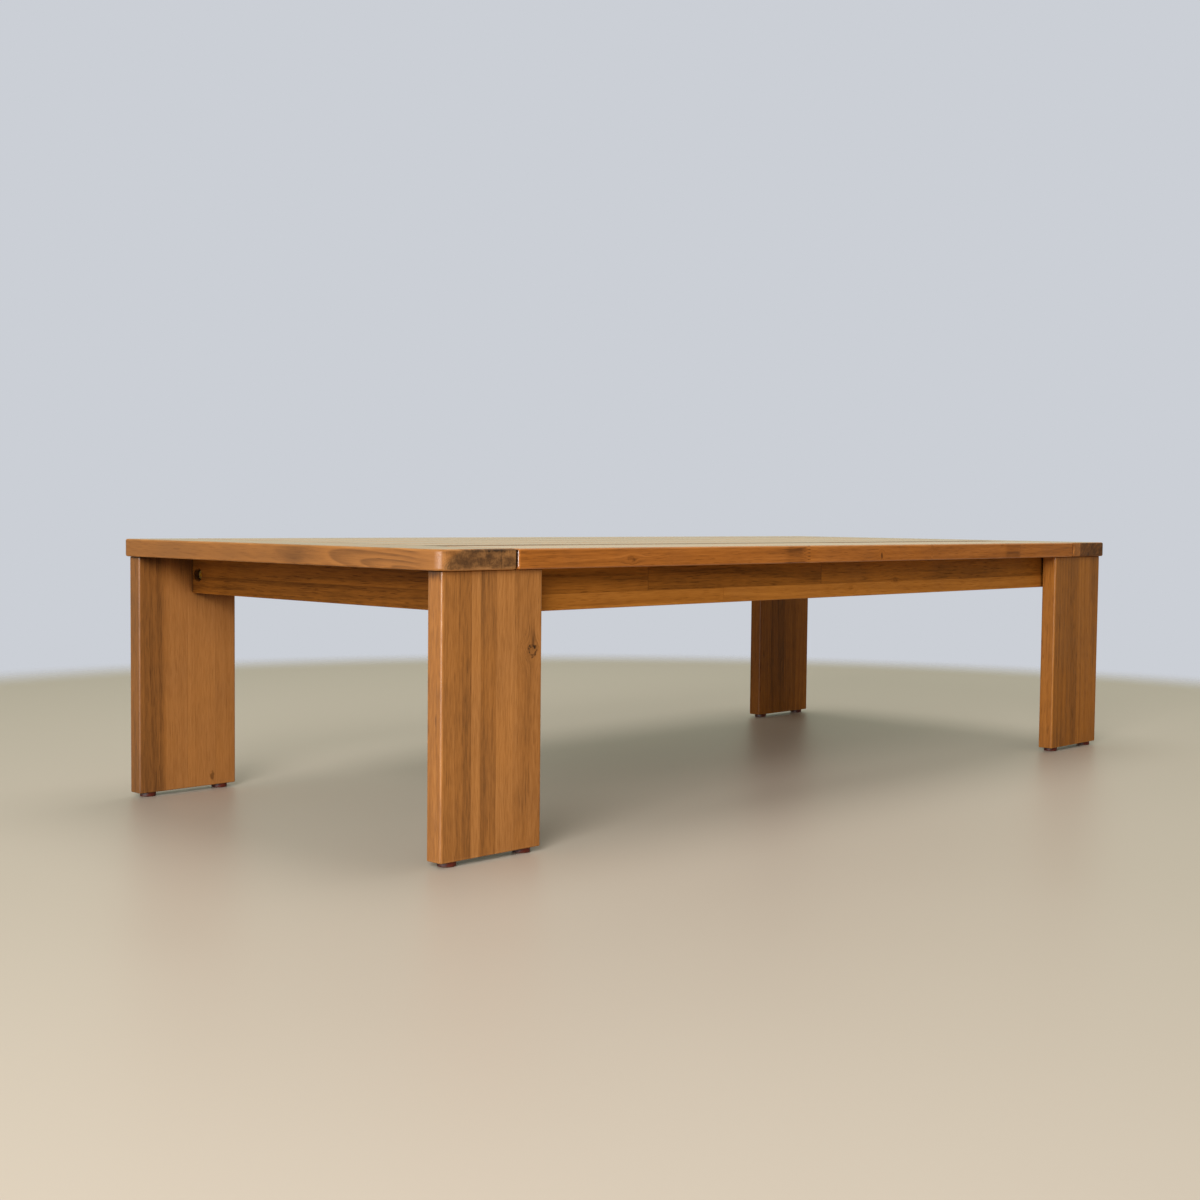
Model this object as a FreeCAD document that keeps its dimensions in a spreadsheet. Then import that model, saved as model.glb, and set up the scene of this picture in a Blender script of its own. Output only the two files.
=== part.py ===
import FreeCAD, Part
import os
import Sketcher

# Low outdoor coffee table: a slatted hardwood top on two leg frames and two long aprons.
# Millimetres, +Z up, +X along the table, origin on the floor under the middle of the top.
# Front is -Y, back is +Y, left is -X and right is +X.

Vector = FreeCAD.Vector

DRIVING_SIZES = {
    "table_length": 1400,
    "table_width": 614,
    "table_height": 326,
    # top boards
    "board_thickness": 22,
    "end_board_width": 104,
    "slat_gap": 4,
    "end_gap": 2,
    "corner_radius": 12,
    "arris_round": 3,
    "edge_round": 2.5,
    # slab legs
    "leg_width": 141,
    "leg_thickness": 23,
    "leg_inset": 6.5,
    "leg_arris_round": 2.5,
    "leg_edge_round": 1.5,
    # aprons under the top
    "apron_height": 47.5,
    "apron_thickness": 20,
    "apron_edge_round": 1.5,
    "short_apron_setback": 83,
    "long_apron_clearance": 2.5,
    "tenon_thickness": 10,
    "tenon_height": 34,
    "tenon_length": 14,
    # cross battens under the slats
    "batten_width": 45,
    "batten_height": 20,
    "batten_setback": 221.5,
    # dowels
    "dowel_diameter": 8,
    "dowel_chamfer": 1,
    "slat_dowel_length": 40,
    "slat_dowel_setback": 24.4,
    "corner_dowel_length": 24,
    "corner_dowel_seat": 9,
    "corner_dowel_setback": 8.75,
    "batten_dowel_length": 30,
    "batten_dowel_seat": 12,
    "batten_dowel_setback": 11.5,
    # wood screws
    "screw_diameter": 4.5,
    "screw_point": 4,
    "screw_head_diameter": 8.5,
    "screw_head_height": 3,
    "screw_slot_width": 1.2,
    "screw_slot_length": 5,
    "screw_slot_depth": 1.5,
    "batten_screw_length": 30,
    "batten_screw_recess": 4,
    "apron_screw_length": 42,
    "apron_screw_recess": 20,
    "long_apron_screw_setback": 117,
    "screw_to_dowel_clearance": 5.95,
    # bolts that pull the long aprons onto the leg frames
    "bolt_diameter": 6,
    "bolt_length": 55,
    "bolt_point": 1,
    "bolt_head_diameter": 10,
    "bolt_head_height": 6,
    "bolt_socket_width": 5,
    "bolt_socket_depth": 3,
    "bolt_recess_diameter": 17.5,
    "bolt_recess_depth": 12,
    "washer_diameter": 16,
    "washer_thickness": 1.5,
    "nut_diameter": 10,
    "nut_length": 14,
    "nut_setback": 36,
    # nailed floor glides
    "glide_diameter": 20,
    "glide_height": 5.5,
    "glide_rim_round": 1.2,
    "glide_setback": 18,
    "glide_recess_depth": 2.5,
    "nail_diameter": 2.6,
    "nail_length": 22,
    "nail_point": 3,
    "nail_head_diameter": 8,
    "nail_head_height": 1.2,
    # room left around and past what sits in a hole
    "fit_clearance": 0.15,
    "end_clearance": 1,
}

SLAT_NAMES = ["slat_front_outer", "slat_front_inner", "slat_middle", "slat_back_inner", "slat_back_outer"]
BATTEN_NAMES = ["batten_left", "batten_middle", "batten_right"]
SIDES_X = {"left": -1, "right": 1}
SIDES_Y = {"front": -1, "back": 1}
SCREWS_PER_BATTEN = 2 * len(SLAT_NAMES) - 2
SCREWS_PER_LONG_APRON = 4
SCREWS_PER_SHORT_APRON = 3

doc = FreeCAD.newDocument("coffee_table")
sheet = doc.addObject("Spreadsheet::Sheet", "Sizes")
for row, (alias, value) in enumerate(DRIVING_SIZES.items(), 1):
    sheet.set(f"A{row}", alias)
    sheet.set(f"B{row}", str(value))
    sheet.setAlias(f"B{row}", alias)
doc.recompute()

# Places and sizes that follow from the driving sizes, as expressions over the sheet.
HALF_LENGTH = "Sizes.table_length / 2"
HALF_WIDTH = "Sizes.table_width / 2"
UNDERSIDE = "(Sizes.table_height - Sizes.board_thickness)"
BOARD_MIDDLE = "Sizes.board_thickness / 2"

SLAT_LENGTH = "(Sizes.table_length - 2 * Sizes.end_board_width - 2 * Sizes.end_gap)"
SLAT_WIDTH = f"((Sizes.table_width - {len(SLAT_NAMES) - 1} * Sizes.slat_gap) / {len(SLAT_NAMES)})"
SLAT_PITCH = f"({SLAT_WIDTH} + Sizes.slat_gap)"
OUTER_SLAT = (len(SLAT_NAMES) - 1) / 2

LEG_HEIGHT = f"({UNDERSIDE} - Sizes.glide_height)"
LEG_X = f"({HALF_LENGTH} - Sizes.leg_inset - Sizes.leg_width / 2)"
LEG_Y = f"({HALF_WIDTH} - Sizes.leg_inset - Sizes.leg_thickness / 2)"
LEG_INNER_FACE = f"({LEG_Y} - Sizes.leg_thickness / 2)"

APRON_BOTTOM = f"({UNDERSIDE} - Sizes.apron_height)"
APRON_MIDDLE = f"({UNDERSIDE} - Sizes.apron_height / 2)"
SHORT_APRON_FACE = f"({HALF_LENGTH} - Sizes.short_apron_setback)"
SHORT_APRON_X = f"({SHORT_APRON_FACE} - Sizes.apron_thickness / 2)"
SHORT_APRON_LENGTH = f"(2 * {LEG_INNER_FACE})"
LONG_APRON_LENGTH = f"(2 * ({SHORT_APRON_FACE} - Sizes.apron_thickness))"
LONG_APRON_Y = f"({LEG_INNER_FACE} - Sizes.long_apron_clearance - Sizes.apron_thickness / 2)"

BATTEN_LENGTH = f"(2 * ({LONG_APRON_Y} - Sizes.apron_thickness / 2))"
BATTEN_LAST_X = f"({SLAT_LENGTH} / 2 - Sizes.batten_setback - Sizes.batten_width / 2)"
BATTEN_FIRST_X = f"-{BATTEN_LAST_X}"
BATTEN_PITCH = f"(2 * {BATTEN_LAST_X} / {len(BATTEN_NAMES) - 1})"
BATTEN_SCREW_PITCH = f"({SLAT_PITCH} / 2)"
BATTEN_SCREW_FIRST_Y = f"-{(SCREWS_PER_BATTEN - 1) / 2} * {BATTEN_SCREW_PITCH}"
BATTEN_SCREW_REACH = "(Sizes.batten_screw_length - Sizes.batten_height + Sizes.batten_screw_recess)"

SLAT_DOWEL_PITCH = f"({SLAT_WIDTH} - 2 * Sizes.slat_dowel_setback)"
CORNER_DOWEL_PITCH = "(Sizes.apron_height - 2 * Sizes.corner_dowel_setback)"
BATTEN_DOWEL_PITCH = "(Sizes.batten_width - 2 * Sizes.batten_dowel_setback)"

APRON_SCREW_REACH = "(Sizes.apron_screw_length - Sizes.apron_height + Sizes.apron_screw_recess)"
LONG_APRON_SCREW_LAST_X = f"({LONG_APRON_LENGTH} / 2 - Sizes.long_apron_screw_setback)"
LONG_APRON_SCREW_FIRST_X = f"-{LONG_APRON_SCREW_LAST_X}"
LONG_APRON_SCREW_PITCH = f"(2 * {LONG_APRON_SCREW_LAST_X} / {SCREWS_PER_LONG_APRON - 1})"
# Screws of the short aprons stand in the middle and just past the dowels of the inner slats.
SCREW_PAST_DOWEL = "(Sizes.dowel_diameter + Sizes.screw_diameter) / 2 + Sizes.screw_to_dowel_clearance"
SHORT_APRON_SCREW_LAST_Y = f"({SLAT_PITCH} + {SLAT_DOWEL_PITCH} / 2 + {SCREW_PAST_DOWEL})"
SHORT_APRON_SCREW_FIRST_Y = f"-{SHORT_APRON_SCREW_LAST_Y}"
SHORT_APRON_SCREW_PITCH = f"(2 * {SHORT_APRON_SCREW_LAST_Y} / {SCREWS_PER_SHORT_APRON - 1})"

BOLT_SEAT = f"({SHORT_APRON_FACE} - Sizes.bolt_recess_depth)"
BOLT_REACH = "(Sizes.bolt_length - Sizes.washer_thickness - Sizes.apron_thickness + Sizes.bolt_recess_depth)"
NUT_X = f"({LONG_APRON_LENGTH} / 2 - Sizes.nut_setback)"

GLIDE_PITCH = "(Sizes.leg_width - 2 * Sizes.glide_setback)"
NAIL_SEAT = "Sizes.glide_recess_depth"
NAIL_REACH = "(Sizes.nail_length + Sizes.glide_recess_depth - Sizes.glide_height)"

DOWEL_HOLE = "(Sizes.dowel_diameter + 2 * Sizes.fit_clearance)"
SCREW_HOLE = "(Sizes.screw_diameter + 2 * Sizes.fit_clearance)"
SCREW_HEAD_HOLE = "(Sizes.screw_head_diameter + 2 * Sizes.fit_clearance)"
BOLT_HOLE = "(Sizes.bolt_diameter + 2 * Sizes.fit_clearance)"
NUT_HOLE = "(Sizes.nut_diameter + 2 * Sizes.fit_clearance)"
NAIL_HOLE = "(Sizes.nail_diameter + 2 * Sizes.fit_clearance)"

pieces = []


# Helpers for sketches and features

PLANE_ACROSS = {"X": "YZ_Plane", "Y": "XZ_Plane", "Z": "XY_Plane"}
POCKET_WAY = {"X": -1, "Y": 1, "Z": -1}
START_SIZE = 10
START_RADIUS = 2
FLAT_TOLERANCE = 0.001


def origin_feature(body, role):
    return next(feature for feature in body.Origin.OriginFeatures if feature.Role == role)


def new_piece(label):
    body = doc.addObject("PartDesign::Body", label)
    body.Label = label
    pieces.append(body)
    return body


def place(body, x, y, z, half_turn=False):
    if half_turn:
        body.Placement.Rotation = FreeCAD.Rotation(Vector(0, 0, 1), 180)
    for key, expression in zip("xyz", (x, y, z)):
        body.setExpression(f"Placement.Base.{key}", expression)


# A sketch square to an axis of its body, with its own origin at the spot given in the body's frame.
def new_sketch(body, name, axis, spot):
    sketch = body.newObject("Sketcher::SketchObject", f"{body.Label}_{name}_sketch")
    sketch.AttachmentSupport = [(origin_feature(body, PLANE_ACROSS[axis]), "")]
    sketch.MapMode = "FlatFace"
    x, y, z = spot
    local = {"X": (y, z, x), "Y": (x, z, f"-({y})"), "Z": (x, y, z)}[axis]
    for key, expression in zip("xyz", local):
        sketch.setExpression(f"AttachmentOffset.Base.{key}", expression)
    return sketch


def constrain(sketch, kind, *points, size=None):
    if size is None:
        sketch.addConstraint(Sketcher.Constraint(kind, *points))
        return
    index = sketch.addConstraint(Sketcher.Constraint(kind, *points, float(sheet.evalExpression(size))))
    sketch.setExpression(f"Constraints[{index}]", size)


def draw_rectangle(sketch, width, height):
    half = START_SIZE
    corners = [Vector(-half, -half, 0), Vector(half, -half, 0), Vector(half, half, 0), Vector(-half, half, 0)]
    for index in range(4):
        sketch.addGeometry(Part.LineSegment(corners[index], corners[(index + 1) % 4]), False)
    for index in range(4):
        constrain(sketch, "Coincident", index, 2, (index + 1) % 4, 1)
        constrain(sketch, ("Horizontal", "Vertical")[index % 2], index)
    constrain(sketch, "Symmetric", 0, 1, 2, 1, -1, 1)
    constrain(sketch, "DistanceX", 0, 1, 0, 2, size=width)
    constrain(sketch, "DistanceY", 1, 1, 1, 2, size=height)


def draw_circle(sketch, diameter):
    index = sketch.addGeometry(Part.Circle(Vector(0, 0, 0), Vector(0, 0, 1), START_SIZE), False)
    constrain(sketch, "Coincident", index, 3, -1, 1)
    constrain(sketch, "Diameter", index, size=diameter)


# Two equal circles either side of the sketch's origin, side by side or one over the other.
def draw_circle_pair(sketch, diameter, spacing, upright):
    offset = Vector(0, START_SIZE, 0) if upright else Vector(START_SIZE, 0, 0)
    for way in (-1, 1):
        sketch.addGeometry(Part.Circle(offset * way, Vector(0, 0, 1), START_RADIUS), False)
    constrain(sketch, "PointOnObject", 0, 3, -2 if upright else -1)
    constrain(sketch, "Symmetric", 0, 3, 1, 3, -1, 1)
    constrain(sketch, "Equal", 0, 1)
    constrain(sketch, "Distance", 0, 3, 1, 3, size=spacing)
    constrain(sketch, "Diameter", 0, size=diameter)


# A closed outline through points that lie on or to the positive side of the sketch's axes.
def draw_outline(sketch, points):
    values = [[float(sheet.evalExpression(size)) for size in point] for point in points]
    corners = [Vector(across, along, 0) for across, along in values]
    count = len(points)
    for index in range(count):
        sketch.addGeometry(Part.LineSegment(corners[index], corners[(index + 1) % count]), False)
    for index in range(count):
        constrain(sketch, "Coincident", index, 2, (index + 1) % count, 1)
    for index, (across, along) in enumerate(points):
        if across == "0":
            constrain(sketch, "PointOnObject", index, 1, -2)
        else:
            constrain(sketch, "DistanceX", -1, 1, index, 1, size=across)
        if along == "0":
            constrain(sketch, "PointOnObject", index, 1, -1)
        else:
            constrain(sketch, "DistanceY", -1, 1, index, 1, size=along)


def draw_hexagon(sketch, width):
    ring = Part.Circle(Vector(0, 0, 0), Vector(0, 0, 1), START_SIZE)
    corners = [ring.value(index * ring.LastParameter / 6) for index in range(6)]
    for index in range(6):
        sketch.addGeometry(Part.LineSegment(corners[index], corners[(index + 1) % 6]), False)
    circle = sketch.addGeometry(ring, True)
    constrain(sketch, "Coincident", circle, 3, -1, 1)
    for index in range(6):
        constrain(sketch, "Coincident", index, 2, (index + 1) % 6, 1)
        constrain(sketch, "PointOnObject", index, 1, circle)
    for index in range(1, 6):
        constrain(sketch, "Equal", 0, index)
    constrain(sketch, "PointOnObject", 0, 1, -1)
    constrain(sketch, "Diameter", circle, size=f"2 * {width} / sqrt(3)")


def pad(body, name, sketch, length):
    feature = body.newObject("PartDesign::Pad", f"{body.Label}_{name}")
    feature.Profile = sketch
    feature.setExpression("Length", length)
    doc.recompute()
    return feature


# Cuts the sketch into the solid, one way along the axis that it is square to; no depth cuts right through.
def cut(body, name, axis, way, sketch, depth=None):
    before = body.Shape.Volume
    feature = body.newObject("PartDesign::Pocket", f"{body.Label}_{name}")
    feature.Profile = sketch
    feature.Reversed = way != POCKET_WAY[axis]
    if depth is None:
        feature.Type = "ThroughAll"
    else:
        feature.setExpression("Length", depth)
    doc.recompute()
    if body.Shape.Volume >= before:
        raise RuntimeError(f"{feature.Name} cuts nothing")
    return feature


def drill(body, name, axis, way, spot, diameter, depth=None):
    sketch = new_sketch(body, name, axis, spot)
    draw_circle(sketch, diameter)
    return cut(body, name, axis, way, sketch, depth)


def drill_pair(body, name, axis, way, spot, diameter, spacing, depth=None, upright=False):
    sketch = new_sketch(body, name, axis, spot)
    draw_circle_pair(sketch, diameter, spacing, upright)
    return cut(body, name, axis, way, sketch, depth)


# A turned solid about an axis through the spot, from points given as (along the axis, radius).
def turn(body, name, axis, spot, points):
    sketch = new_sketch(body, name, "Z" if axis == "Y" else "Y", spot)
    lies_along = axis == "X"
    draw_outline(sketch, points if lies_along else [(radius, along) for along, radius in points])
    feature = body.newObject("PartDesign::Revolution", f"{body.Label}_{name}")
    feature.Profile = sketch
    feature.ReferenceAxis = (sketch, ["H_Axis" if lies_along else "V_Axis"])
    feature.Angle = 360
    doc.recompute()
    return feature


# Repeats the named features along an axis, or the whole body where none are named.
def repeat(body, name, axis, count, pitch, features=()):
    pattern = body.newObject("PartDesign::LinearPattern", f"{body.Label}_{name}_row")
    if features:
        pattern.Originals = list(features)
    else:
        pattern.TransformMode = "Whole shape"
    pattern.Direction = (origin_feature(body, f"{axis}_Axis"), [""])
    pattern.Mode = "Spacing"
    pattern.Occurrences = count
    pattern.setExpression("Offset", pitch)
    body.Tip = pattern
    doc.recompute()


def mirror(body, name, axis, features=()):
    feature = body.newObject("PartDesign::Mirrored", f"{body.Label}_{name}_mirror")
    if features:
        feature.Originals = list(features)
    else:
        feature.TransformMode = "Whole shape"
    feature.MirrorPlane = (origin_feature(body, PLANE_ACROSS[axis]), [""])
    body.Tip = feature
    doc.recompute()


def round_edges(body, name, radius, wanted):
    base = body.Tip
    names = [f"Edge{index}" for index, edge in enumerate(base.Shape.Edges, 1) if wanted(edge.BoundBox)]
    fillet = body.newObject("PartDesign::Fillet", f"{body.Label}_{name}")
    fillet.Base = (base, names)
    fillet.setExpression("Radius", radius)
    doc.recompute()


def is_upright(box):
    return box.XLength < FLAT_TOLERANCE and box.YLength < FLAT_TOLERANCE


def is_level(box):
    return box.ZLength < FLAT_TOLERANCE


def is_arris_at(box, face_x):
    return is_upright(box) and box.XMax > face_x - FLAT_TOLERANCE


def is_floor_rim(box, reach):
    return is_level(box) and box.ZMax < FLAT_TOLERANCE and box.XMax > reach - FLAT_TOLERANCE


# A straight-edged board standing on its body's XY plane, centred over the origin.
def saw_board(body, length_x, length_y, height):
    sketch = new_sketch(body, "blank", "Z", ("0", "0", "0"))
    draw_rectangle(sketch, length_x, length_y)
    pad(body, "blank", sketch, height)


def ease_lower_edges(body, along):
    def wanted(box):
        run = {"X": box.XLength, "Y": box.YLength}[along]
        return is_level(box) and box.ZMax < FLAT_TOLERANCE and run > box.DiagonalLength - FLAT_TOLERANCE

    round_edges(body, "lower_edges", "Sizes.apron_edge_round", wanted)


# The pieces

def make_end_board(side):
    body = new_piece(f"end_board_{side}")
    half = "Sizes.end_board_width / 2"
    saw_board(body, "Sizes.end_board_width", "Sizes.table_width", "Sizes.board_thickness")
    inner_face = body.Shape.BoundBox.XMax
    round_edges(body, "plan_corners", "Sizes.corner_radius", lambda box: is_upright(box) and box.XMax < 0)
    round_edges(body, "inner_arrises", "Sizes.arris_round", lambda box: is_arris_at(box, inner_face))
    round_edges(body, "edges", "Sizes.edge_round", is_level)
    first_y = f"-{OUTER_SLAT} * {SLAT_PITCH}"
    depth = "(Sizes.slat_dowel_length - Sizes.end_gap) / 2 + Sizes.end_clearance"
    spot = (half, first_y, BOARD_MIDDLE)
    holes = drill_pair(body, "dowels", "X", -1, spot, DOWEL_HOLE, SLAT_DOWEL_PITCH, depth)
    repeat(body, "dowels", "Y", len(SLAT_NAMES), SLAT_PITCH, [holes])
    screw_x = "Sizes.short_apron_setback + (Sizes.apron_thickness - Sizes.end_board_width) / 2"
    spot = (screw_x, SHORT_APRON_SCREW_FIRST_Y, "0")
    pilots = drill(body, "screws", "Z", 1, spot, SCREW_HOLE, f"{APRON_SCREW_REACH} + Sizes.end_clearance")
    repeat(body, "screws", "Y", SCREWS_PER_SHORT_APRON, SHORT_APRON_SCREW_PITCH, [pilots])
    centre_x = f"{SIDES_X[side]} * ({HALF_LENGTH} - {half})"
    place(body, centre_x, "0", UNDERSIDE, half_turn=side == "right")


def make_slat(label, row):
    body = new_piece(label)
    saw_board(body, SLAT_LENGTH, SLAT_WIDTH, "Sizes.board_thickness")
    round_edges(body, "arrises", "Sizes.arris_round", is_upright)
    round_edges(body, "edges", "Sizes.edge_round", is_level)
    depth = "(Sizes.slat_dowel_length - Sizes.end_gap) / 2 + Sizes.end_clearance"
    spot = (f"-{SLAT_LENGTH} / 2", "0", BOARD_MIDDLE)
    holes = drill_pair(body, "dowels", "X", 1, spot, DOWEL_HOLE, SLAT_DOWEL_PITCH, depth)
    mirror(body, "dowels", "X", [holes])
    depth = f"{BATTEN_SCREW_REACH} + Sizes.end_clearance"
    way_out = (row > 0) - (row < 0)
    if abs(row) < OUTER_SLAT:
        spot = (BATTEN_FIRST_X, "0", "0")
        pilots = drill_pair(body, "screws", "Z", 1, spot, SCREW_HOLE, BATTEN_SCREW_PITCH, depth, upright=True)
    else:
        spot = (BATTEN_FIRST_X, f"{-way_out} * {BATTEN_SCREW_PITCH} / 2", "0")
        pilots = drill(body, "screws", "Z", 1, spot, SCREW_HOLE, depth)
    repeat(body, "screws", "X", len(BATTEN_NAMES), BATTEN_PITCH, [pilots])
    if abs(row) == OUTER_SLAT:
        offset = f"{way_out} * ({LONG_APRON_Y} - {OUTER_SLAT} * {SLAT_PITCH})"
        spot = (LONG_APRON_SCREW_FIRST_X, offset, "0")
        depth = f"{APRON_SCREW_REACH} + Sizes.end_clearance"
        pilots = drill(body, "apron_screws", "Z", 1, spot, SCREW_HOLE, depth)
        repeat(body, "apron_screws", "X", SCREWS_PER_LONG_APRON, LONG_APRON_SCREW_PITCH, [pilots])
    place(body, "0", f"{row} * {SLAT_PITCH}", UNDERSIDE)


def make_short_apron(side):
    body = new_piece(f"short_apron_{side}")
    face = "Sizes.apron_thickness / 2"
    middle = "Sizes.apron_height / 2"
    saw_board(body, "Sizes.apron_thickness", SHORT_APRON_LENGTH, "Sizes.apron_height")
    ease_lower_edges(body, "Y")
    sketch = new_sketch(body, "tenon", "Y", ("0", f"-{SHORT_APRON_LENGTH} / 2", middle))
    draw_rectangle(sketch, "Sizes.tenon_thickness", "Sizes.tenon_height")
    tenon = pad(body, "tenon", sketch, "Sizes.tenon_length")
    mirror(body, "tenon", "Y", [tenon])
    spot = (f"-{face}", "0", middle)
    spacing = f"2 * {LONG_APRON_Y}"
    drill_pair(body, "bolt_holes", "X", 1, spot, BOLT_HOLE, spacing)
    depth = "Sizes.bolt_recess_depth"
    drill_pair(body, "bolt_recesses", "X", 1, spot, "Sizes.bolt_recess_diameter", spacing, depth)
    spot = (face, f"-{LONG_APRON_Y}", middle)
    depth = "Sizes.corner_dowel_seat + Sizes.end_clearance / 2"
    holes = drill_pair(body, "dowels", "X", -1, spot, DOWEL_HOLE, CORNER_DOWEL_PITCH, depth, upright=True)
    mirror(body, "dowels", "Y", [holes])
    drill_screw_row(body, "Y", SCREWS_PER_SHORT_APRON, SHORT_APRON_SCREW_PITCH)
    place(body, f"{SIDES_X[side]} * {SHORT_APRON_X}", "0", APRON_BOTTOM, half_turn=side == "right")


# Upright screw holes through an apron, each with a deep recess for the head from below.
def drill_screw_row(body, along, count, pitch):
    first = f"-{(count - 1) / 2} * {pitch}"
    spot = (first, "0", "0") if along == "X" else ("0", first, "0")
    hole = drill(body, "screw_hole", "Z", 1, spot, SCREW_HOLE)
    recess = drill(body, "screw_recess", "Z", 1, spot, SCREW_HEAD_HOLE, "Sizes.apron_screw_recess")
    repeat(body, "screw_hole", along, count, pitch, [hole, recess])


def make_long_apron(side):
    body = new_piece(f"long_apron_{side}")
    face = "Sizes.apron_thickness / 2"
    middle = "Sizes.apron_height / 2"
    end = f"-{LONG_APRON_LENGTH} / 2"
    saw_board(body, LONG_APRON_LENGTH, "Sizes.apron_thickness", "Sizes.apron_height")
    ease_lower_edges(body, "X")
    spot = (end, "0", middle)
    bolt = drill(body, "bolt_hole", "X", 1, spot, BOLT_HOLE, f"{BOLT_REACH} + Sizes.end_clearance")
    depth = "Sizes.corner_dowel_length - Sizes.corner_dowel_seat + Sizes.end_clearance"
    dowels = drill_pair(body, "dowels", "X", 1, spot, DOWEL_HOLE, CORNER_DOWEL_PITCH, depth, upright=True)
    spot = (f"-{NUT_X}", face, middle)
    depth = "(Sizes.apron_thickness + Sizes.nut_length) / 2"
    nut = drill(body, "nut_hole", "Y", -1, spot, NUT_HOLE, depth)
    mirror(body, "ends", "X", [bolt, dowels, nut])
    spot = (BATTEN_FIRST_X, face, "Sizes.apron_height - Sizes.batten_height / 2")
    depth = "Sizes.batten_dowel_seat + Sizes.end_clearance"
    seats = drill_pair(body, "batten_dowels", "Y", -1, spot, DOWEL_HOLE, BATTEN_DOWEL_PITCH, depth)
    repeat(body, "batten_dowels", "X", len(BATTEN_NAMES), BATTEN_PITCH, [seats])
    drill_screw_row(body, "X", SCREWS_PER_LONG_APRON, LONG_APRON_SCREW_PITCH)
    place(body, "0", f"{SIDES_Y[side]} * {LONG_APRON_Y}", APRON_BOTTOM, half_turn=side == "back")


def make_batten(label, column):
    body = new_piece(label)
    saw_board(body, "Sizes.batten_width", BATTEN_LENGTH, "Sizes.batten_height")
    ease_lower_edges(body, "Y")
    spot = ("0", f"-{BATTEN_LENGTH} / 2", "Sizes.batten_height / 2")
    depth = "Sizes.batten_dowel_length - Sizes.batten_dowel_seat + Sizes.end_clearance"
    holes = drill_pair(body, "dowels", "Y", 1, spot, DOWEL_HOLE, BATTEN_DOWEL_PITCH, depth)
    mirror(body, "dowels", "Y", [holes])
    spot = ("0", BATTEN_SCREW_FIRST_Y, "0")
    hole = drill(body, "screw_hole", "Z", 1, spot, SCREW_HOLE)
    recess = drill(body, "screw_recess", "Z", 1, spot, SCREW_HEAD_HOLE, "Sizes.batten_screw_recess")
    repeat(body, "screw_hole", "Y", SCREWS_PER_BATTEN, BATTEN_SCREW_PITCH, [hole, recess])
    place(body, f"{column} * {BATTEN_PITCH}", "0", f"{UNDERSIDE} - Sizes.batten_height")


def make_leg(side_y, side_x):
    body = new_piece(f"leg_{side_y}_{side_x}")
    way_x = SIDES_X[side_x]
    way_y = SIDES_Y[side_y]
    saw_board(body, "Sizes.leg_width", "Sizes.leg_thickness", LEG_HEIGHT)
    round_edges(body, "arrises", "Sizes.leg_arris_round", is_upright)
    round_edges(body, "edges", "Sizes.leg_edge_round", is_level)
    mortise_x = f"{way_x} * ({SHORT_APRON_X} - {LEG_X})"
    mortise_z = f"{APRON_MIDDLE} - Sizes.glide_height"
    sketch = new_sketch(body, "mortise", "Y", (mortise_x, f"{-way_y} * Sizes.leg_thickness / 2", mortise_z))
    width = "Sizes.tenon_thickness + 2 * Sizes.fit_clearance"
    height = "Sizes.tenon_height + 2 * Sizes.fit_clearance"
    draw_rectangle(sketch, width, height)
    cut(body, "mortise", "Y", way_y, sketch, "Sizes.tenon_length + Sizes.end_clearance")
    depth = f"{NAIL_REACH} + Sizes.end_clearance"
    drill_pair(body, "nail_holes", "Z", 1, ("0", "0", "0"), NAIL_HOLE, GLIDE_PITCH, depth)
    place(body, f"{way_x} * {LEG_X}", f"{way_y} * {LEG_Y}", "Sizes.glide_height")


def make_glide(side_y, side_x, place_on_leg):
    body = new_piece(f"glide_{side_y}_{side_x}_{place_on_leg}")
    way_out = {"outer": 1, "inner": -1}[place_on_leg]
    rim = "Sizes.glide_diameter / 2"
    hole = f"{NAIL_HOLE} / 2"
    recess = "Sizes.nail_head_diameter / 2 + Sizes.fit_clearance"
    outline = [
        ("0", recess),
        ("0", rim),
        ("Sizes.glide_height", rim),
        ("Sizes.glide_height", hole),
        (NAIL_SEAT, hole),
        (NAIL_SEAT, recess),
    ]
    turn(body, "disc", "Z", ("0", "0", "0"), outline)
    reach = body.Shape.BoundBox.XMax
    round_edges(body, "rim", "Sizes.glide_rim_round", lambda box: is_floor_rim(box, reach))
    glide_x = f"{SIDES_X[side_x]} * ({LEG_X} + {way_out} * {GLIDE_PITCH} / 2)"
    place(body, glide_x, f"{SIDES_Y[side_y]} * {LEG_Y}", "0")


def make_glide_nails():
    body = new_piece("glide_nails")
    shank = "Sizes.nail_diameter / 2"
    head = "Sizes.nail_head_diameter / 2"
    seat = "Sizes.nail_head_height"
    outline = [
        ("0", "0"),
        ("0", head),
        (seat, head),
        (seat, shank),
        (f"{seat} + Sizes.nail_length - Sizes.nail_point", shank),
        (f"{seat} + Sizes.nail_length", "0"),
    ]
    first_x = f"-{LEG_X} - {GLIDE_PITCH} / 2"
    turn(body, "nail", "Z", (first_x, f"-{LEG_Y}", f"{NAIL_SEAT} - {seat}"), outline)
    repeat(body, "leg", "X", 2, GLIDE_PITCH)
    repeat(body, "side", "X", 2, f"2 * {LEG_X}")
    repeat(body, "table", "Y", 2, f"2 * {LEG_Y}")


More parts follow.
